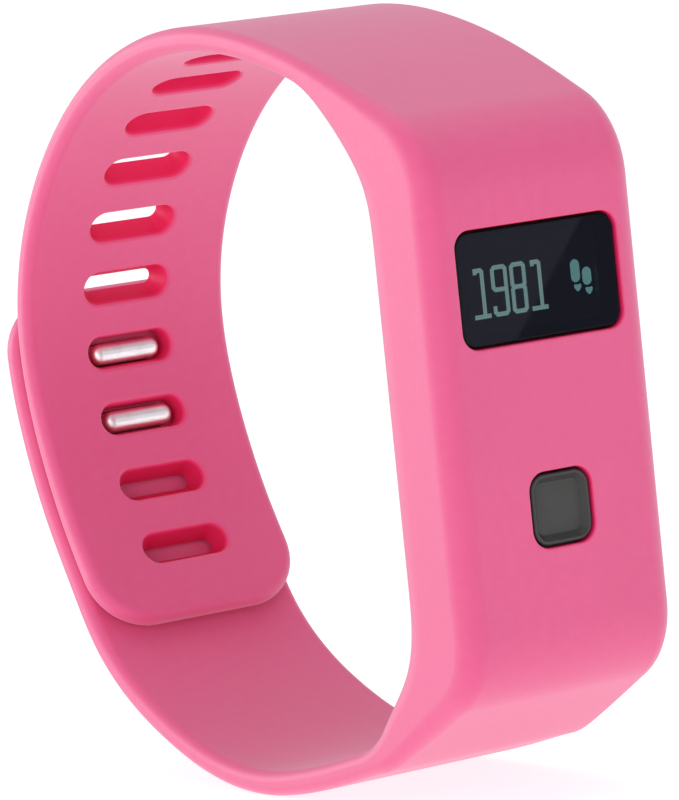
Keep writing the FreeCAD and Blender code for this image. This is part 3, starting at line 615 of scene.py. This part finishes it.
def make_slotted_strap():
    skin = Skin()
    lips = []
    for number in range(SLOT_COUNT):
        s = FIRST_SLOT + number * SLOT_PITCH
        point, _, normal = outer.at(s)
        cut = Cut(point, normal, SLOT_SIZE, SLOT_SIZE[0] / 2 - HAIR, (s - SLOT_PITCH / 2, s + SLOT_PITCH / 2))
        outer_lip, outer_wall = cut.lip_on(skin, outer, SLOT_LIPS[0], SLOT_TAPER[number in PEG_SLOTS])
        inner_lip, inner_wall = cut.lip_on(skin, inner, SLOT_LIPS[1])
        skin.between(outer_wall, inner_wall, 2, True)
        lips.append((outer_lip, inner_lip))
    band_piece(skin, TOP_SEAM, SLOT_TIP, SLOT_TIP, *zip(*lips))
    return finish_band(skin, "strap_slotted", ["slot_strap_end"])


def make_head():
    skin = Skin()
    window, button, pocket = (
        Cut((0, z), ALONG_X, size, corner, (-NEAR, NEAR)) for z, size, corner in (
            (WINDOW_Z, WINDOW_SIZE, WINDOW_CORNER),
            (BUTTON_Z, BUTTON_SIZE, BUTTON_CORNER),
            (POCKET_Z, POCKET_SIZE, POCKET_CORNER),
        )
    )
    straight = np.array(POCKET_SIZE) / 2 - POCKET_CORNER

    def ceiling(spots):
        """The pocket's end under the face: flat, and rounded down to its walls."""
        past = np.maximum(np.abs(spots) - straight, 0)
        far = np.linalg.norm(past, axis=1)
        lean = np.clip((far - (POCKET_CORNER - POCKET_ROUND)) / POCKET_ROUND, 0, 1)
        height = np.sqrt(1 - lean**2)
        away = np.sign(spots) * past / np.maximum(far, 1e-9)[:, None]
        normal = np.stack([-height, -lean * away[:, 1], -lean * away[:, 0]], axis=1)
        return POCKET_FRONT - POCKET_ROUND * (1 - height), normal

    on_face, in_pocket = [], []
    for cut in (window, button):
        face_lip, top = cut.lip_on(skin, outer, FACE_LIP)
        ceiling_lip, bottom = cut.lip_at(skin, pocket, ceiling, FACE_LIP / 2, -1)
        skin.between(top, bottom, 1, True)
        on_face.append(face_lip)
        in_pocket.append(ceiling_lip)

    rows, loops = [], []
    for angle in np.linspace(CEILING_START, QUARTER, 4):
        loops.append(pocket.spread(-POCKET_ROUND * (1 - math.sin(angle))))
        points = pocket.place(loops[-1], POCKET_FRONT - POCKET_ROUND * (1 - math.cos(angle)))
        turned = math.sin(angle) * pocket.wall_normal - math.cos(angle) * pocket.out_normal
        rows.append(skin.add(points, turned))
    skin.bridge_all(rows, True)
    pocket.floor(skin, ceiling, rows[0], loops[0], in_pocket, STEP / 2)
    mouth, mouth_wall = pocket.lip_on(skin, inner, MOUTH_LIP)
    skin.between(rows[-1], mouth_wall, 6, True)
    band_piece(skin, BOTTOM_SEAM, TOP_SEAM, None, on_face, [mouth])
    return finish_band(skin, "band_head", ["band_sleeve"])


clasp_out = heading(180 + CLASP_TILT)
clasp_up = np.array([-clasp_out[1], clasp_out[0]])
peg_middles = [np.array(CLASP_MID) + side * PEG_PITCH / 2 * clasp_up for side in (-1, 1)]


def make_clasp_strap():
    skin = Skin()
    near = (STRAP_END, STRAP_END + NEAR)
    size = [length + 2 * PLATE_GAP for length in PLATE_SIZE]
    recess = Cut(CLASP_MID, clasp_out, size, PLATE_CORNER + PLATE_GAP, near)
    recess_lip, recess_wall = recess.lip_on(skin, outer, FACE_LIP)
    bottom = skin.add(recess.place(recess.loop, PLATE_SEAT), recess.wall_normal)
    skin.between(recess_wall, bottom, 1, True)

    def seat(spots):
        return np.full(len(spots), PLATE_SEAT), np.tile(recess.out_normal, (len(spots), 1))

    holes, inner_openings = [], []
    for middle in peg_middles:
        size = [length + 2 * PEG_FIT for length in PEG_SIZE]
        hole = Cut(middle, clasp_out, size, size[0] / 2 - HAIR, near)
        inner_lip, inner_wall = hole.lip_on(skin, inner, FACE_LIP)
        seat_lip, seat_wall = hole.lip_at(skin, recess, seat, FACE_LIP / 2, 1)
        skin.between(seat_wall, inner_wall, 2, True)
        holes.append(seat_lip)
        inner_openings.append(inner_lip)
    recess.floor(skin, seat, skin.copy(bottom, recess.out_normal), recess.loop, holes)
    band_piece(skin, STRAP_END, BOTTOM_SEAM, STRAP_END, [recess_lip], inner_openings)
    return finish_band(skin, "strap_clasp", ["clasp_strap_end"])


band_head = make_head()
strap_slotted = make_slotted_strap()
strap_clasp = make_clasp_strap()
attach(band_head, "band")


bend_point, bend_along, bend_normal = outer.at(SLOT_BEND)
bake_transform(strap_slotted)
bend_point, bend_along, bend_normal = slot_line.at(CLASP_BEND)
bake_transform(strap_clasp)


# ---- Button and clasp pegs ----
BUTTON_BACK = 35.0
FLANGE_FRONT = 35.45
FLANGE_WIDE = 0.55
BUTTON_FRONT = 37.8
CAP_SIZE = (5.9, 5.9)
CAP_CORNER = 1.4
RIM_ROUND = 0.16
DISH_DEPTH = 0.62
DISH_SLOPE = (0.27, 0.8)
DISH_EASE = 0.05
DISH_FLAT = (0.08, 0.01)
PEG_DOME = 0.75
PEG_REACH = 4.0


def ring_rows(skin, cut, profile):
    """Rows round a cut's outline, from (outset, level, degrees that the normal tilts off the cut)."""
    rows = []
    for outset, level, tilt in profile:
        up, aside = heading(tilt)
        outward = up * cut.out_normal - aside * cut.wall_normal
        rows.append(skin.add(cut.place(cut.spread(outset), level), outward))
    skin.bridge_all(rows, True)
    return rows


def close(skin, row, normal):
    skin.faces.append(tuple(skin.copy(row, normal)))


def make_button():
    """A dished cap with a thin rim round its pad, and a flange that keeps it behind the case."""
    skin = Skin()
    cap = Cut((0, BUTTON_Z), ALONG_X, CAP_SIZE, CAP_CORNER, None)
    floor = BUTTON_FRONT - DISH_DEPTH
    slope_start, slope_end = DISH_SLOPE
    lean = -math.degrees(math.atan2(DISH_DEPTH, slope_end - slope_start))
    flange = [(FLANGE_WIDE, BUTTON_BACK, 90), (FLANGE_WIDE, FLANGE_FRONT, 90)]
    step = [(FLANGE_WIDE, FLANGE_FRONT, 0), (0, FLANGE_FRONT, 0)]
    rim = [(0, FLANGE_FRONT, 90)]
    for turn in np.linspace(0, 90, 6):
        cosine, sine = heading(turn)
        rim.append((RIM_ROUND * (cosine - 1), BUTTON_FRONT - RIM_ROUND * (1 - sine), 90 - turn))
    dish = [
        (-slope_start, BUTTON_FRONT, lean / 3),
        (-slope_start - DISH_EASE, BUTTON_FRONT - DISH_EASE, lean),
        (DISH_EASE - slope_end, floor + DISH_EASE, lean),
        (-slope_end, floor, lean / 3),
        (-slope_end - DISH_FLAT[0], floor - DISH_FLAT[1], 0),
    ]
    back = ring_rows(skin, cap, flange)[0]
    ring_rows(skin, cap, step)
    pad = ring_rows(skin, cap, rim + dish)[-1]
    close(skin, back, -cap.out_normal)
    close(skin, pad, cap.out_normal)
    piece = skin.build("button_pad")
    # painted shade: every face but the pad's front takes the darker grey, so the rim, dish slopes and flange
    # look shaded
    for polygon in piece.data.polygons:
        on_pad = polygon.normal.x > 0.99 and polygon.center.x > FLANGE_FRONT * MM
        polygon.material_index = 0 if on_pad else 1
    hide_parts("button_cap")
    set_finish(piece, "button_grey")
    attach(piece, "button")
    return piece


def make_pegs():
    """Two steel pegs with domed ends."""
    skin = Skin()
    radius = PEG_SIZE[0] / 2 - HAIR
    for middle in peg_middles:
        peg = Cut(middle, clasp_out, PEG_SIZE, radius, None)
        profile = [(0, PEG_TIP + PEG_REACH, 90), (0, PEG_TIP + PEG_DOME, 90)]
        for turn in np.radians(np.linspace(8, 82, 9)):
            tilt = math.degrees(math.atan2(math.sin(turn) / PEG_DOME, math.cos(turn) / radius))
            level = PEG_TIP + PEG_DOME * (1 - math.sin(turn))
            profile.append((radius * (math.cos(turn) - 1), level, 90 + tilt))
        rows = ring_rows(skin, peg, profile)
        close(skin, rows[0], peg.out_normal)
        close(skin, rows[-1], -peg.out_normal)
    piece = skin.build("clasp_peg_pair")
    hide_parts("clasp_pegs")
    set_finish(piece, "clasp_steel")
    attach(piece, "clasp")
    return piece


button_pad = make_button()
clasp_peg_pair = make_pegs()


# ---- Lit figures on the display ----
PANEL_FRONT = box_mm("oled_panel")[1][0]
FIGURE_THICK = 0.02
STROKE = 0.37
FIGURES_Z = 7.32
FIGURES = (("1", -5.4), ("9", -3.72), ("8", -1.78), ("1", 0.44))
GLYPHS = {
    "1": [
        [(0.12, 3.68), (0.12, 4.0), (0.66, 4.0), (0.8, 3.86), (0.8, 0.19)],
        [(-0.24, 0.19), (1.4, 0.19)],
    ],
    "9": [
        [(1.49, 2.22), (0.39, 2.22), (0.19, 2.42), (0.19, 3.86), (0.39, 4.06), (1.29, 4.06), (1.49, 3.86),
         (1.49, 0.39), (1.29, 0.19), (0.39, 0.19), (0.19, 0.39), (0.19, 0.9)],
    ],
    "8": [
        [(1.25, 2.22), (1.44, 2.42), (1.44, 3.86), (1.24, 4.06), (0.39, 4.06), (0.19, 3.86), (0.19, 2.42),
         (0.39, 2.22), (0.19, 2.02), (0.19, 0.39), (0.39, 0.19), (1.24, 0.19), (1.44, 0.39), (1.44, 2.02),
         (1.25, 2.22)],
        [(0.39, 2.22), (1.25, 2.22)],
    ],
}
# soles as (y, low z, high z) and heels as (y, high z), each with one width
SOLES = ((4.9, 9.12, 11.03), (6.05, 8.76, 10.26))
HEELS = ((5.03, 8.95), (6.17, 8.58))
SOLE_WIDE = 0.92
HEEL = (
    (-0.37, -0.08), (-0.26, 0), (0, -0.05), (0.26, 0), (0.37, -0.08),
    (0.33, -0.32), (0.08, -0.6), (-0.08, -0.6), (-0.33, -0.32),
)


def ribbon(points, width):
    """The outline of a stroke of even width along points, with mitred corners."""
    points = np.array(points, float)
    along = unit(np.diff(points, axis=0))
    left = along @ np.array([[0, 1], [-1, 0]])
    mitre = unit(np.vstack([left[:1], left[:-1] + left[1:], left[-1:]]))
    reach = np.concatenate([[1], 1 / (mitre[1:-1] * left[1:]).sum(1), [1]])[:, None]
    return points + mitre * reach * width / 2, points - mitre * reach * width / 2


def plate_of(skin, outline):
    """A thin plate on the panel with this outline of (y, z)."""
    flat = np.array(outline)
    outward = np.column_stack([np.zeros(len(flat)), unit(flat - flat.mean(0))])
    levels = (FIGURE_THICK / 2, 1.5 * FIGURE_THICK)
    ends = [np.column_stack([np.full(len(flat), PANEL_FRONT + level), flat]) for level in levels]
    back, front = (skin.add(points, (side, 0, 0)) for points, side in zip(ends, (-1, 1)))
    skin.faces += [tuple(back), tuple(front)]
    skin.bridge(*(skin.add(points, outward) for points in ends), True)


def on_panel(skin, name):
    piece = skin.build(name)
    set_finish(piece, "oled_glass")
    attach(piece, "tracker")
    return piece


def make_figures():
    skin = Skin()
    for figure, y in FIGURES:
        corner = np.array([y, FIGURES_Z])
        for stroke in GLYPHS[figure]:
            left, right = ribbon(corner + np.array(stroke), STROKE)
            for i in range(len(left) - 1):
                plate_of(skin, [left[i], left[i + 1], right[i + 1], right[i]])
    return on_panel(skin, "display_figures")


def make_footprints():
    skin = Skin()
    radius = SOLE_WIDE / 2
    for y, low, high in SOLES:
        ends = []
        for z, start in ((high - radius, 0), (low + radius, 180)):
            ends += [np.array([y, z]) + radius * heading(start + turn) for turn in np.linspace(0, 180, 13)]
        plate_of(skin, ends)
    for y, high in HEELS:
        plate_of(skin, np.array(HEEL) + (y, high))
    return on_panel(skin, "display_footprints")


display_figures = make_figures()
display_footprints = make_footprints()


# ---- Materials ----
SILICONE = (0.8, 0.08, 0.25)
# painted shade: the deeper, darker red that the silicone turns to down its holes
HOLE_SHADE_SILICONE = (0.87, 0.026, 0.135)
LENS = (0.035, 0.038, 0.052)
BRUSHED_ACROSS = (1, 0.08, 1)
BRUSHED_ALONG = (1, 1, 0.08)
TRACK_GREEN = (0.02, 0.16, 0.06)
PIXEL_PITCH = 0.21
WAVE_RATE = 20  # radians that a wave texture turns per unit at scale 1
FOIL_CREASES = (3.2, 5, (1, 1.6, 0.7))


class Finish:
    """A material in the making: its shader, and noise read from the object's own coordinates in metres."""

    def __init__(self, name, colour, roughness, **sockets):
        self.material = bpy.data.materials.new(name)
        self.material.use_nodes = True
        self.tree = self.material.node_tree
        self.shader = self.tree.nodes["Principled BSDF"]
        self.coords = self.add("TexCoord").outputs["Object"]
        self.shader.inputs["Base Color"].default_value = (*colour, 1)
        self.shader.inputs["Roughness"].default_value = roughness
        self.colour, self.roughness, self.height = colour, roughness, None
        self.patterns = {}
        self.set(self.shader, sockets)

    def set(self, node, sockets):
        """Give a node's sockets their values, or link them to other nodes' outputs."""
        for socket, value in sockets.items():
            target = node.inputs[socket.replace("_", " ")]
            if isinstance(value, bpy.types.NodeSocket):
                self.join(value, target)
            else:
                target.default_value = value

    def add(self, kind, **sockets):
        node = self.tree.nodes.new("ShaderNode" + kind)
        self.set(node, sockets)
        return node

    def join(self, source, target):
        self.tree.links.new(source, target)

    def space(self, stretch=(1, 1, 1)):
        """The object's coordinates, stretched along its axes."""
        return self.add("Mapping", Scale=stretch, Vector=self.coords).outputs["Vector"]

    def noise(self, grain_mm, detail=3.0, stretch=(1, 1, 1)):
        node = self.add("TexNoise", Scale=1 / (grain_mm * MM), Detail=detail, Vector=self.space(stretch))
        return node.outputs["Fac"]

    def cells(self, size_mm):
        return self.add("TexVoronoi", Scale=1 / (size_mm * MM), Vector=self.space()).outputs["Distance"]

    def pattern(self, *sizes):
        """Noise from its grain in mm, detail and maybe stretch, or cells from their size alone."""
        if sizes not in self.patterns:
            self.patterns[sizes] = self.noise(*sizes) if len(sizes) > 1 else self.cells(*sizes)
        return self.patterns[sizes]

    def lines(self, pitch_mm, axis):
        """Parallel lines across one axis, from 0 to 1 and back once a pitch."""
        node = self.add("TexWave", Scale=2 * math.pi / (WAVE_RATE * pitch_mm * MM), Vector=self.coords)
        node.bands_direction = axis
        return node.outputs["Fac"]

    def spread(self, value, low, high, to_low=0.0, to_high=1.0):
        """A value taken from one range to another, and kept inside it."""
        node = self.add("MapRange", From_Min=low, From_Max=high, To_Min=to_low, To_Max=to_high, Value=value)
        return node.outputs["Result"]

    def times(self, value, other):
        node = self.add("Math")
        node.operation = "MULTIPLY"
        self.join(value, node.inputs[0])
        self.join(other, node.inputs[1])
        return node.outputs["Value"]

    def tint(self, amount, other):
        """Turn the colour so far towards another by an amount that varies over the surface."""
        node = self.add("Mix")
        node.data_type = "RGBA"
        base, target = node.inputs[6], node.inputs[7]
        link = self.shader.inputs["Base Color"].links
        if link:
            self.join(link[0].from_socket, base)
        else:
            base.default_value = (*self.colour, 1)
        target.default_value = (*other, 1)
        self.join(amount, node.inputs["Factor"])
        self.join(node.outputs[2], self.shader.inputs["Base Color"])
        return self

    def gloss(self, value, low, high, rougher):
        """Let roughness rise by an amount where a value goes from low to high."""
        roughness = self.spread(value, low, high, self.roughness, self.roughness + rougher)
        self.join(roughness, self.shader.inputs["Roughness"])
        return self

    def bump(self, value, depth_mm, strength=1.0):
        node = self.add("Bump", Distance=depth_mm * MM, Strength=strength, Height=value)
        if self.height:
            self.join(self.height, node.inputs["Normal"])
        self.height = node.outputs["Normal"]
        self.join(self.height, self.shader.inputs["Normal"])
        return self


def silicone(name, sheen, specular):
    """Matt moulded silicone: a hazy skin, very fine grain and faint clouding, and painted shade down its
    holes, a deeper red along the depth attribute.
    """
    finish = Finish(
        name, SILICONE, 0.5, IOR=1.5, Specular_IOR_Level=specular, Sheen_Weight=sheen, Sheen_Roughness=0.55,
        Sheen_Tint=(1.0, 0.84, 0.93, 1),
    )
    cloud = finish.noise(14, 2)
    grain = finish.noise(0.22, 4)
    finish.tint(finish.spread(cloud, 0.3, 0.7), [channel * 0.965 for channel in SILICONE])
    finish.tint(finish.spread(finish.noise(0.9, 5), 0.35, 0.7, 0, 0.04), (0.9, 0.3, 0.45))
    # painted shade down the holes: the depth attribute turns the colour to a deeper red
    depth = finish.add("Attribute")
    depth.attribute_name = "depth"
    finish.tint(depth.outputs["Fac"], HOLE_SHADE_SILICONE)
    finish.gloss(grain, 0.35, 0.65, 0.08)
    finish.bump(finish.noise(2.6, 2), 0.012).bump(grain, 0.004)
    return finish.material


def grained(name, colour, roughness, patches, wear, bumps, **sockets):
    """Patches of a second colour, gloss that varies with wear, and a grain.

    Each starts with its pattern's sizes. Patches and wear go on with the range that the pattern is read over,
    and the other colour or the added roughness. Bumps go on with a depth in mm, and maybe a strength.
    """
    finish = Finish(name, colour, roughness, **sockets)
    sizes, low, high, other = patches
    finish.tint(finish.spread(finish.pattern(*sizes), low, high), other)
    sizes, *reading = wear
    finish.gloss(finish.pattern(*sizes), *reading)
    for sizes, *depth in bumps:
        finish.bump(finish.pattern(*sizes), *depth)
    return finish.material


def moulded(name, colour, roughness, grain_mm=0.16, depth_mm=0.006):
    """Moulded plastic or rubber with a fine spark-eroded grain."""
    paler = [channel * 1.25 for channel in colour]
    grain = (grain_mm,)
    return grained(
        name, colour, roughness, ((3, 4), 0.35, 0.7, paler), (grain, 0.2, 0.8, 0.1), [(grain, depth_mm)],
    )


def metal(name, colour, roughness, stretch, scratch_mm=0.08):
    """Metal brushed along one axis, with fine scratches and a few duller patches."""
    duller = [channel * 0.86 for channel in colour]
    brushing = (scratch_mm, 5, stretch)
    return grained(
        name, colour, roughness,
        ((1.8, 4), 0.45, 0.7, duller), (brushing, 0.3, 0.7, 0.12), [(brushing, 0.0016)], Metallic=1.0,
    )


def smoked_lens():
    """Smoked acrylic with a hard, almost clean front."""
    finish = Finish("lens_smoke_acrylic", LENS, 0.012, IOR=1.25, Transmission_Weight=1.0)
    finish.gloss(finish.noise(1.1, 6), 0.5, 0.8, 0.03)
    return finish.material


def oled():
    """Dark panel glass with its rows and columns of pixels, a little bluer than its border."""
    finish = Finish("oled_glass_panel", (0.012, 0.013, 0.022), 0.4, Specular_IOR_Level=0.08)
    grid = finish.times(*(finish.lines(PIXEL_PITCH, axis) for axis in "YZ"))
    finish.tint(grid, (0.02, 0.022, 0.036))
    finish.gloss(finish.noise(2, 3), 0.3, 0.7, 0.2)
    return finish.material


def glow(name, colour, strength):
    """Lit pixels: an even glow broken by the gaps between them."""
    finish = Finish(name, (0.02, 0.03, 0.03), 0.5)
    rows, columns = (finish.spread(finish.lines(PIXEL_PITCH, axis), 0, 0.35, 0.72, 1) for axis in "YZ")
    pixels = finish.times(rows, columns)
    finish.shader.inputs["Emission Color"].default_value = (*colour, 1)
    finish.join(finish.spread(pixels, 0, 1, 0, strength), finish.shader.inputs["Emission Strength"])
    return finish.material


def circuit_board():
    """Green solder mask over copper tracks, with the glass weave just showing."""
    finish = Finish("board_green_mask", (0.006, 0.075, 0.03), 0.3, Coat_Weight=0.4)

    def tracks(pitch_mm, axis, edge, patch_mm, patch_edge):
        """Tracks across one axis, laid in patches."""
        lines = finish.spread(finish.lines(pitch_mm, axis), *edge)
        return finish.times(lines, finish.spread(finish.noise(patch_mm, 1), *patch_edge))

    along = tracks(0.8, "Y", (0.72, 0.8), 3.1, (0.42, 0.46))
    across = tracks(1.1, "Z", (0.78, 0.85), 4.3, (0.5, 0.54))
    finish.tint(along, TRACK_GREEN).tint(across, TRACK_GREEN)
    finish.gloss(finish.noise(0.3, 3), 0.3, 0.7, 0.1)
    finish.bump(along, 0.02).bump(finish.times(finish.lines(0.35, "Y"), finish.lines(0.35, "Z")), 0.006)
    return finish.material


def foam():
    """Open-cell foam, with painted shade darkening the middle of each pore."""
    finish = Finish("foam_grey_cells", (0.12, 0.12, 0.125), 0.92, Sheen_Weight=0.2)
    pores = finish.cells(0.2)
    # painted shade: the middle of each pore turns darker
    finish.tint(finish.spread(pores, 0.15, 0.45, 1, 0), (0.03, 0.03, 0.032))
    finish.bump(pores, 0.08)
    return finish.material


def flex():
    """Amber polyimide with copper tracks along it."""
    finish = Finish("flex_amber_polyimide", (0.42, 0.16, 0.025), 0.3, Coat_Weight=0.3)
    tracks = finish.spread(finish.lines(0.5, "Y"), 0.5, 0.62)
    finish.tint(tracks, (0.55, 0.27, 0.08))
    finish.gloss(finish.noise(0.5, 3), 0.3, 0.7, 0.12)
    finish.bump(tracks, 0.015)
    return finish.material


finishes = {
    "silicone_pink": silicone("silicone_pink_skin", 0.5, 0.5),
    "clasp_steel": metal("clasp_steel_satin", (0.6, 0.6, 0.61), 0.34, BRUSHED_ACROSS, 0.1),
    "case_black": moulded("case_black_plastic", (0.010, 0.010, 0.011), 0.42),
    "seal_rubber": moulded("seal_rubber_black", (0.014, 0.014, 0.015), 0.66, 0.1, 0.008),
    "lens_smoke": smoked_lens(),
    "tape_black": moulded("tape_black_film", (0.012, 0.012, 0.012), 0.55, 0.3, 0.01),
    "oled_glass": oled(),
    "holder_white": moulded("holder_white_plastic", (0.66, 0.66, 0.63), 0.4, 0.2, 0.005),
    "flex_amber": flex(),
    "board_green": circuit_board(),
    "chip_black": grained(
        "chip_black_epoxy", (0.012, 0.012, 0.013), 0.5,
        ((0.07,), 0.75, 0.95, (0.06, 0.06, 0.062)), ((0.07,), 0.2, 0.8, 0.18), [((0.12, 3), 0.006)],
    ),
    "tin_can": metal("tin_can_matt", (0.72, 0.71, 0.68), 0.3, BRUSHED_ALONG),
    "ceramic_part": grained(
        "ceramic_part_fired", (0.5, 0.42, 0.32), 0.42,
        ((0.5, 3), 0.4, 0.65, (0.38, 0.3, 0.22)), ((0.1, 4), 0.3, 0.7, 0.15), [((0.1, 4), 0.005)],
    ),
    "cell_foil": grained(
        "cell_foil_pouch", (0.62, 0.63, 0.65), 0.28,
        ((5, 3), 0.4, 0.7, (0.5, 0.51, 0.54)), (FOIL_CREASES, 0.35, 0.65, 0.16),
        [(FOIL_CREASES, 0.12, 0.6), ((0.3, 3), 0.008)], Metallic=1.0,
    ),
    "foam_grey": foam(),
    "wire_red": grained(
        "wire_red_pvc", (0.5, 0.012, 0.012), 0.34,
        ((0.4, 5), 0.55, 0.75, (0.33, 0.008, 0.008)), ((0.4, 5), 0.4, 0.7, 0.2), [((0.15, 4), 0.006)],
    ),
    "motor_steel": metal("motor_steel_drawn", (0.66, 0.66, 0.67), 0.24, (0.1, 1, 1)),
    "tungsten": metal("tungsten_sintered", (0.36, 0.355, 0.35), 0.42, (1, 1, 1), 0.05),
    "button_grey": moulded("button_grey_rubber", (0.05, 0.05, 0.048), 0.6, 0.12, 0.005),
    "contact_gold": metal("contact_gold_plate", (1.0, 0.72, 0.3), 0.16, (1, 1, 1), 0.06),
}
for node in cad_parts.values():
    for holder in node.material_slots:
        holder.material = finishes[holder.material.name]
for piece in (band_head, strap_slotted, strap_clasp, button_pad):
    piece.data.materials.append(finishes[piece["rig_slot"]])
# painted shade: a copy of the silicone for the faces down the holes, with no sheen and little gloss
hollow_shade = silicone("silicone_pink_painted_hole_shade", 0.0, 0.12)
for piece in (band_head, strap_slotted, strap_clasp):
    piece.data.materials.append(hollow_shade)
# painted highlight: the pegs take a near-white, brighter copy of the clasp steel
clasp_peg_pair.data.materials.append(metal("clasp_peg_painted_highlight", (1.0, 0.99, 1.0), 0.38, BRUSHED_ACROSS, 0.1))
# painted shade: a darker copy of the button's grey rubber for all but the pad's front
button_pad.data.materials.append(moulded("button_grey_painted_shade", (0.03, 0.03, 0.031), 0.5, 0.12, 0.004))
display_figures.data.materials.append(glow("lit_figures", (0.62, 1.0, 0.72), 6.2))
display_footprints.data.materials.append(glow("lit_footprints", (0.46, 1.0, 0.72), 5.6))


# ---- Camera ----
CAMERA_AZIMUTH, CAMERA_ELEVATION, CAMERA_ROLL = (math.radians(angle) for angle in (56.04, 5.71, -5.895))
CAMERA_DISTANCE = 466.529
CAMERA_SLIDE = (3.939, -0.932)
CAMERA_LENS = 238.5


def make_camera():
    back = Vector((
        math.sin(CAMERA_AZIMUTH) * math.cos(CAMERA_ELEVATION),
        -math.cos(CAMERA_AZIMUTH) * math.cos(CAMERA_ELEVATION),
        math.sin(CAMERA_ELEVATION),
    ))
    level = Vector((math.cos(CAMERA_AZIMUTH), math.sin(CAMERA_AZIMUTH), 0))
    upright = back.cross(level)
    right = level * math.cos(CAMERA_ROLL) + upright * math.sin(CAMERA_ROLL)
    up = upright * math.cos(CAMERA_ROLL) - level * math.sin(CAMERA_ROLL)
    eye = back * CAMERA_DISTANCE + right * CAMERA_SLIDE[0] + up * CAMERA_SLIDE[1]
    camera = place_object("camera", bpy.data.cameras.new("camera"))
    camera.data.lens = CAMERA_LENS
    camera.data.clip_start, camera.data.clip_end = 0.01, 20
    camera.matrix_world = Matrix.Translation(eye * MM) @ Matrix((right, up, back)).transposed().to_4x4()
    bpy.context.scene.camera = camera
    return eye


eye = make_camera()


# ---- Studio: floor and backdrop in one sweep, lights, and two cards that the lens reflects ----
FLOOR_Z = sleeve_low[2] - 0.02
FLOOR_RADIUS, SWEEP_RADIUS, SWEEP_RISE = 1.3, 0.5, 66
FLOOR_COLOUR = (0.45, 0.45, 0.45)
FLOOR_GLOW = 0.78
WORLD_COLOUR = (0.45, 0.45, 0.46, 1)


def make_floor():
    """A round floor that curves up at its rim, so that it is the backdrop from every side."""
    profile = [(radius, 0) for radius in (0, 0.05, 0.1, 0.2, 0.4, 0.8)]
    for turn in np.radians(np.linspace(0, SWEEP_RISE, 12)):
        profile.append((FLOOR_RADIUS + SWEEP_RADIUS * math.sin(turn), SWEEP_RADIUS * (1 - math.cos(turn))))
    spokes = 96
    verts = [(0, 0, FLOOR_Z * MM)]
    for radius, rise in profile[1:]:
        for spoke in range(spokes):
            across = radius * heading(360 * spoke / spokes)
            verts.append((*across, FLOOR_Z * MM + rise))
    faces = [(0, 1 + i, 1 + (i + 1) % spokes) for i in range(spokes)]
    for ring in range(len(profile) - 2):
        for i in range(spokes):
            a, b = 1 + ring * spokes + i, 1 + ring * spokes + (i + 1) % spokes
            faces.append((a, a + spokes, b + spokes, b))
    mesh = bpy.data.meshes.new("studio_floor")
    mesh.from_pydata(verts, [], faces)
    mesh.polygons.foreach_set("use_smooth", [True] * len(mesh.polygons))
    floor = place_object("studio_floor", mesh)
    finish = Finish(
        "studio_floor_card", FLOOR_COLOUR, 0.9, Emission_Color=(1, 1, 1, 1), Emission_Strength=FLOOR_GLOW,
    )
    finish.tint(finish.spread(finish.noise(60, 3), 0.3, 0.7), [channel * 0.99 for channel in FLOOR_COLOUR])
    mesh.materials.append(finish.material)


def make_light(name, place, size, energy, gloss_only=False):
    """A square area light that looks at the middle of the band."""
    data = bpy.data.lights.new(name, "AREA")
    data.size, data.energy = size, energy
    light = place_object(name, data)
    light.location = place
    light.rotation_mode = "QUATERNION"
    light.rotation_quaternion = (-Vector(place)).to_track_quat("-Z", "Y")
    light.visible_camera = False
    light.visible_diffuse = not gloss_only


CARD_BEYOND = 240.0
CARD_EDGE = ((5.17, 14.7), (-3.1, 5.0))
CARD_WIDE = (26, -4)


def make_card(name, side, shade):
    """A lit card on one side of the slanted edge that the lens reflects, seen only in reflections."""
    front = lens_high[0]
    mirrored = Vector((2 * front - eye.x, eye.y, eye.z))
    upper, lower = (np.array(point) for point in CARD_EDGE)
    reach = 1.2 * (upper - lower)
    across = side * np.array(CARD_WIDE)
    far = 1 + CARD_BEYOND / (eye.x - front)
    corners = [lower - reach, upper + reach, upper + reach + across, lower - reach + across]
    points = [mirrored + (Vector((front, *corner)) - mirrored) * far for corner in corners]
    mesh = bpy.data.meshes.new(name)
    mesh.from_pydata([point * MM for point in points], [], [(0, 1, 2, 3)])
    card = place_object(name, mesh)
    card.visible_camera = card.visible_diffuse = card.visible_shadow = card.visible_transmission = False
    finish = Finish(
        name + "_cloth", (0.02, 0.02, 0.022), 0.95, Emission_Color=(*shade, 1), Emission_Strength=1.0,
    )
    mesh.materials.append(finish.material)


make_floor()
make_card("light_card", -1, (1.15, 1.2, 1.7))
make_card("dark_card", 1, (0.55, 0.6, 0.95))
make_light("key", (-0.3, -0.8, 0.35), 0.5, 1.05)
make_light("front", (0.5, -0.78, 0.3), 0.5, 1.45)
make_light("top", (0.0, 0.0, 0.9), 0.9, 3.0)
make_light("side_gloss", (-0.75, -0.55, 0.0), 0.8, 9.0, gloss_only=True)

world = bpy.data.worlds.new("studio")
world.use_nodes = True
world.node_tree.nodes["Background"].inputs["Color"].default_value = WORLD_COLOUR
bpy.context.scene.world = world
bpy.context.scene.view_settings.view_transform = "Standard"
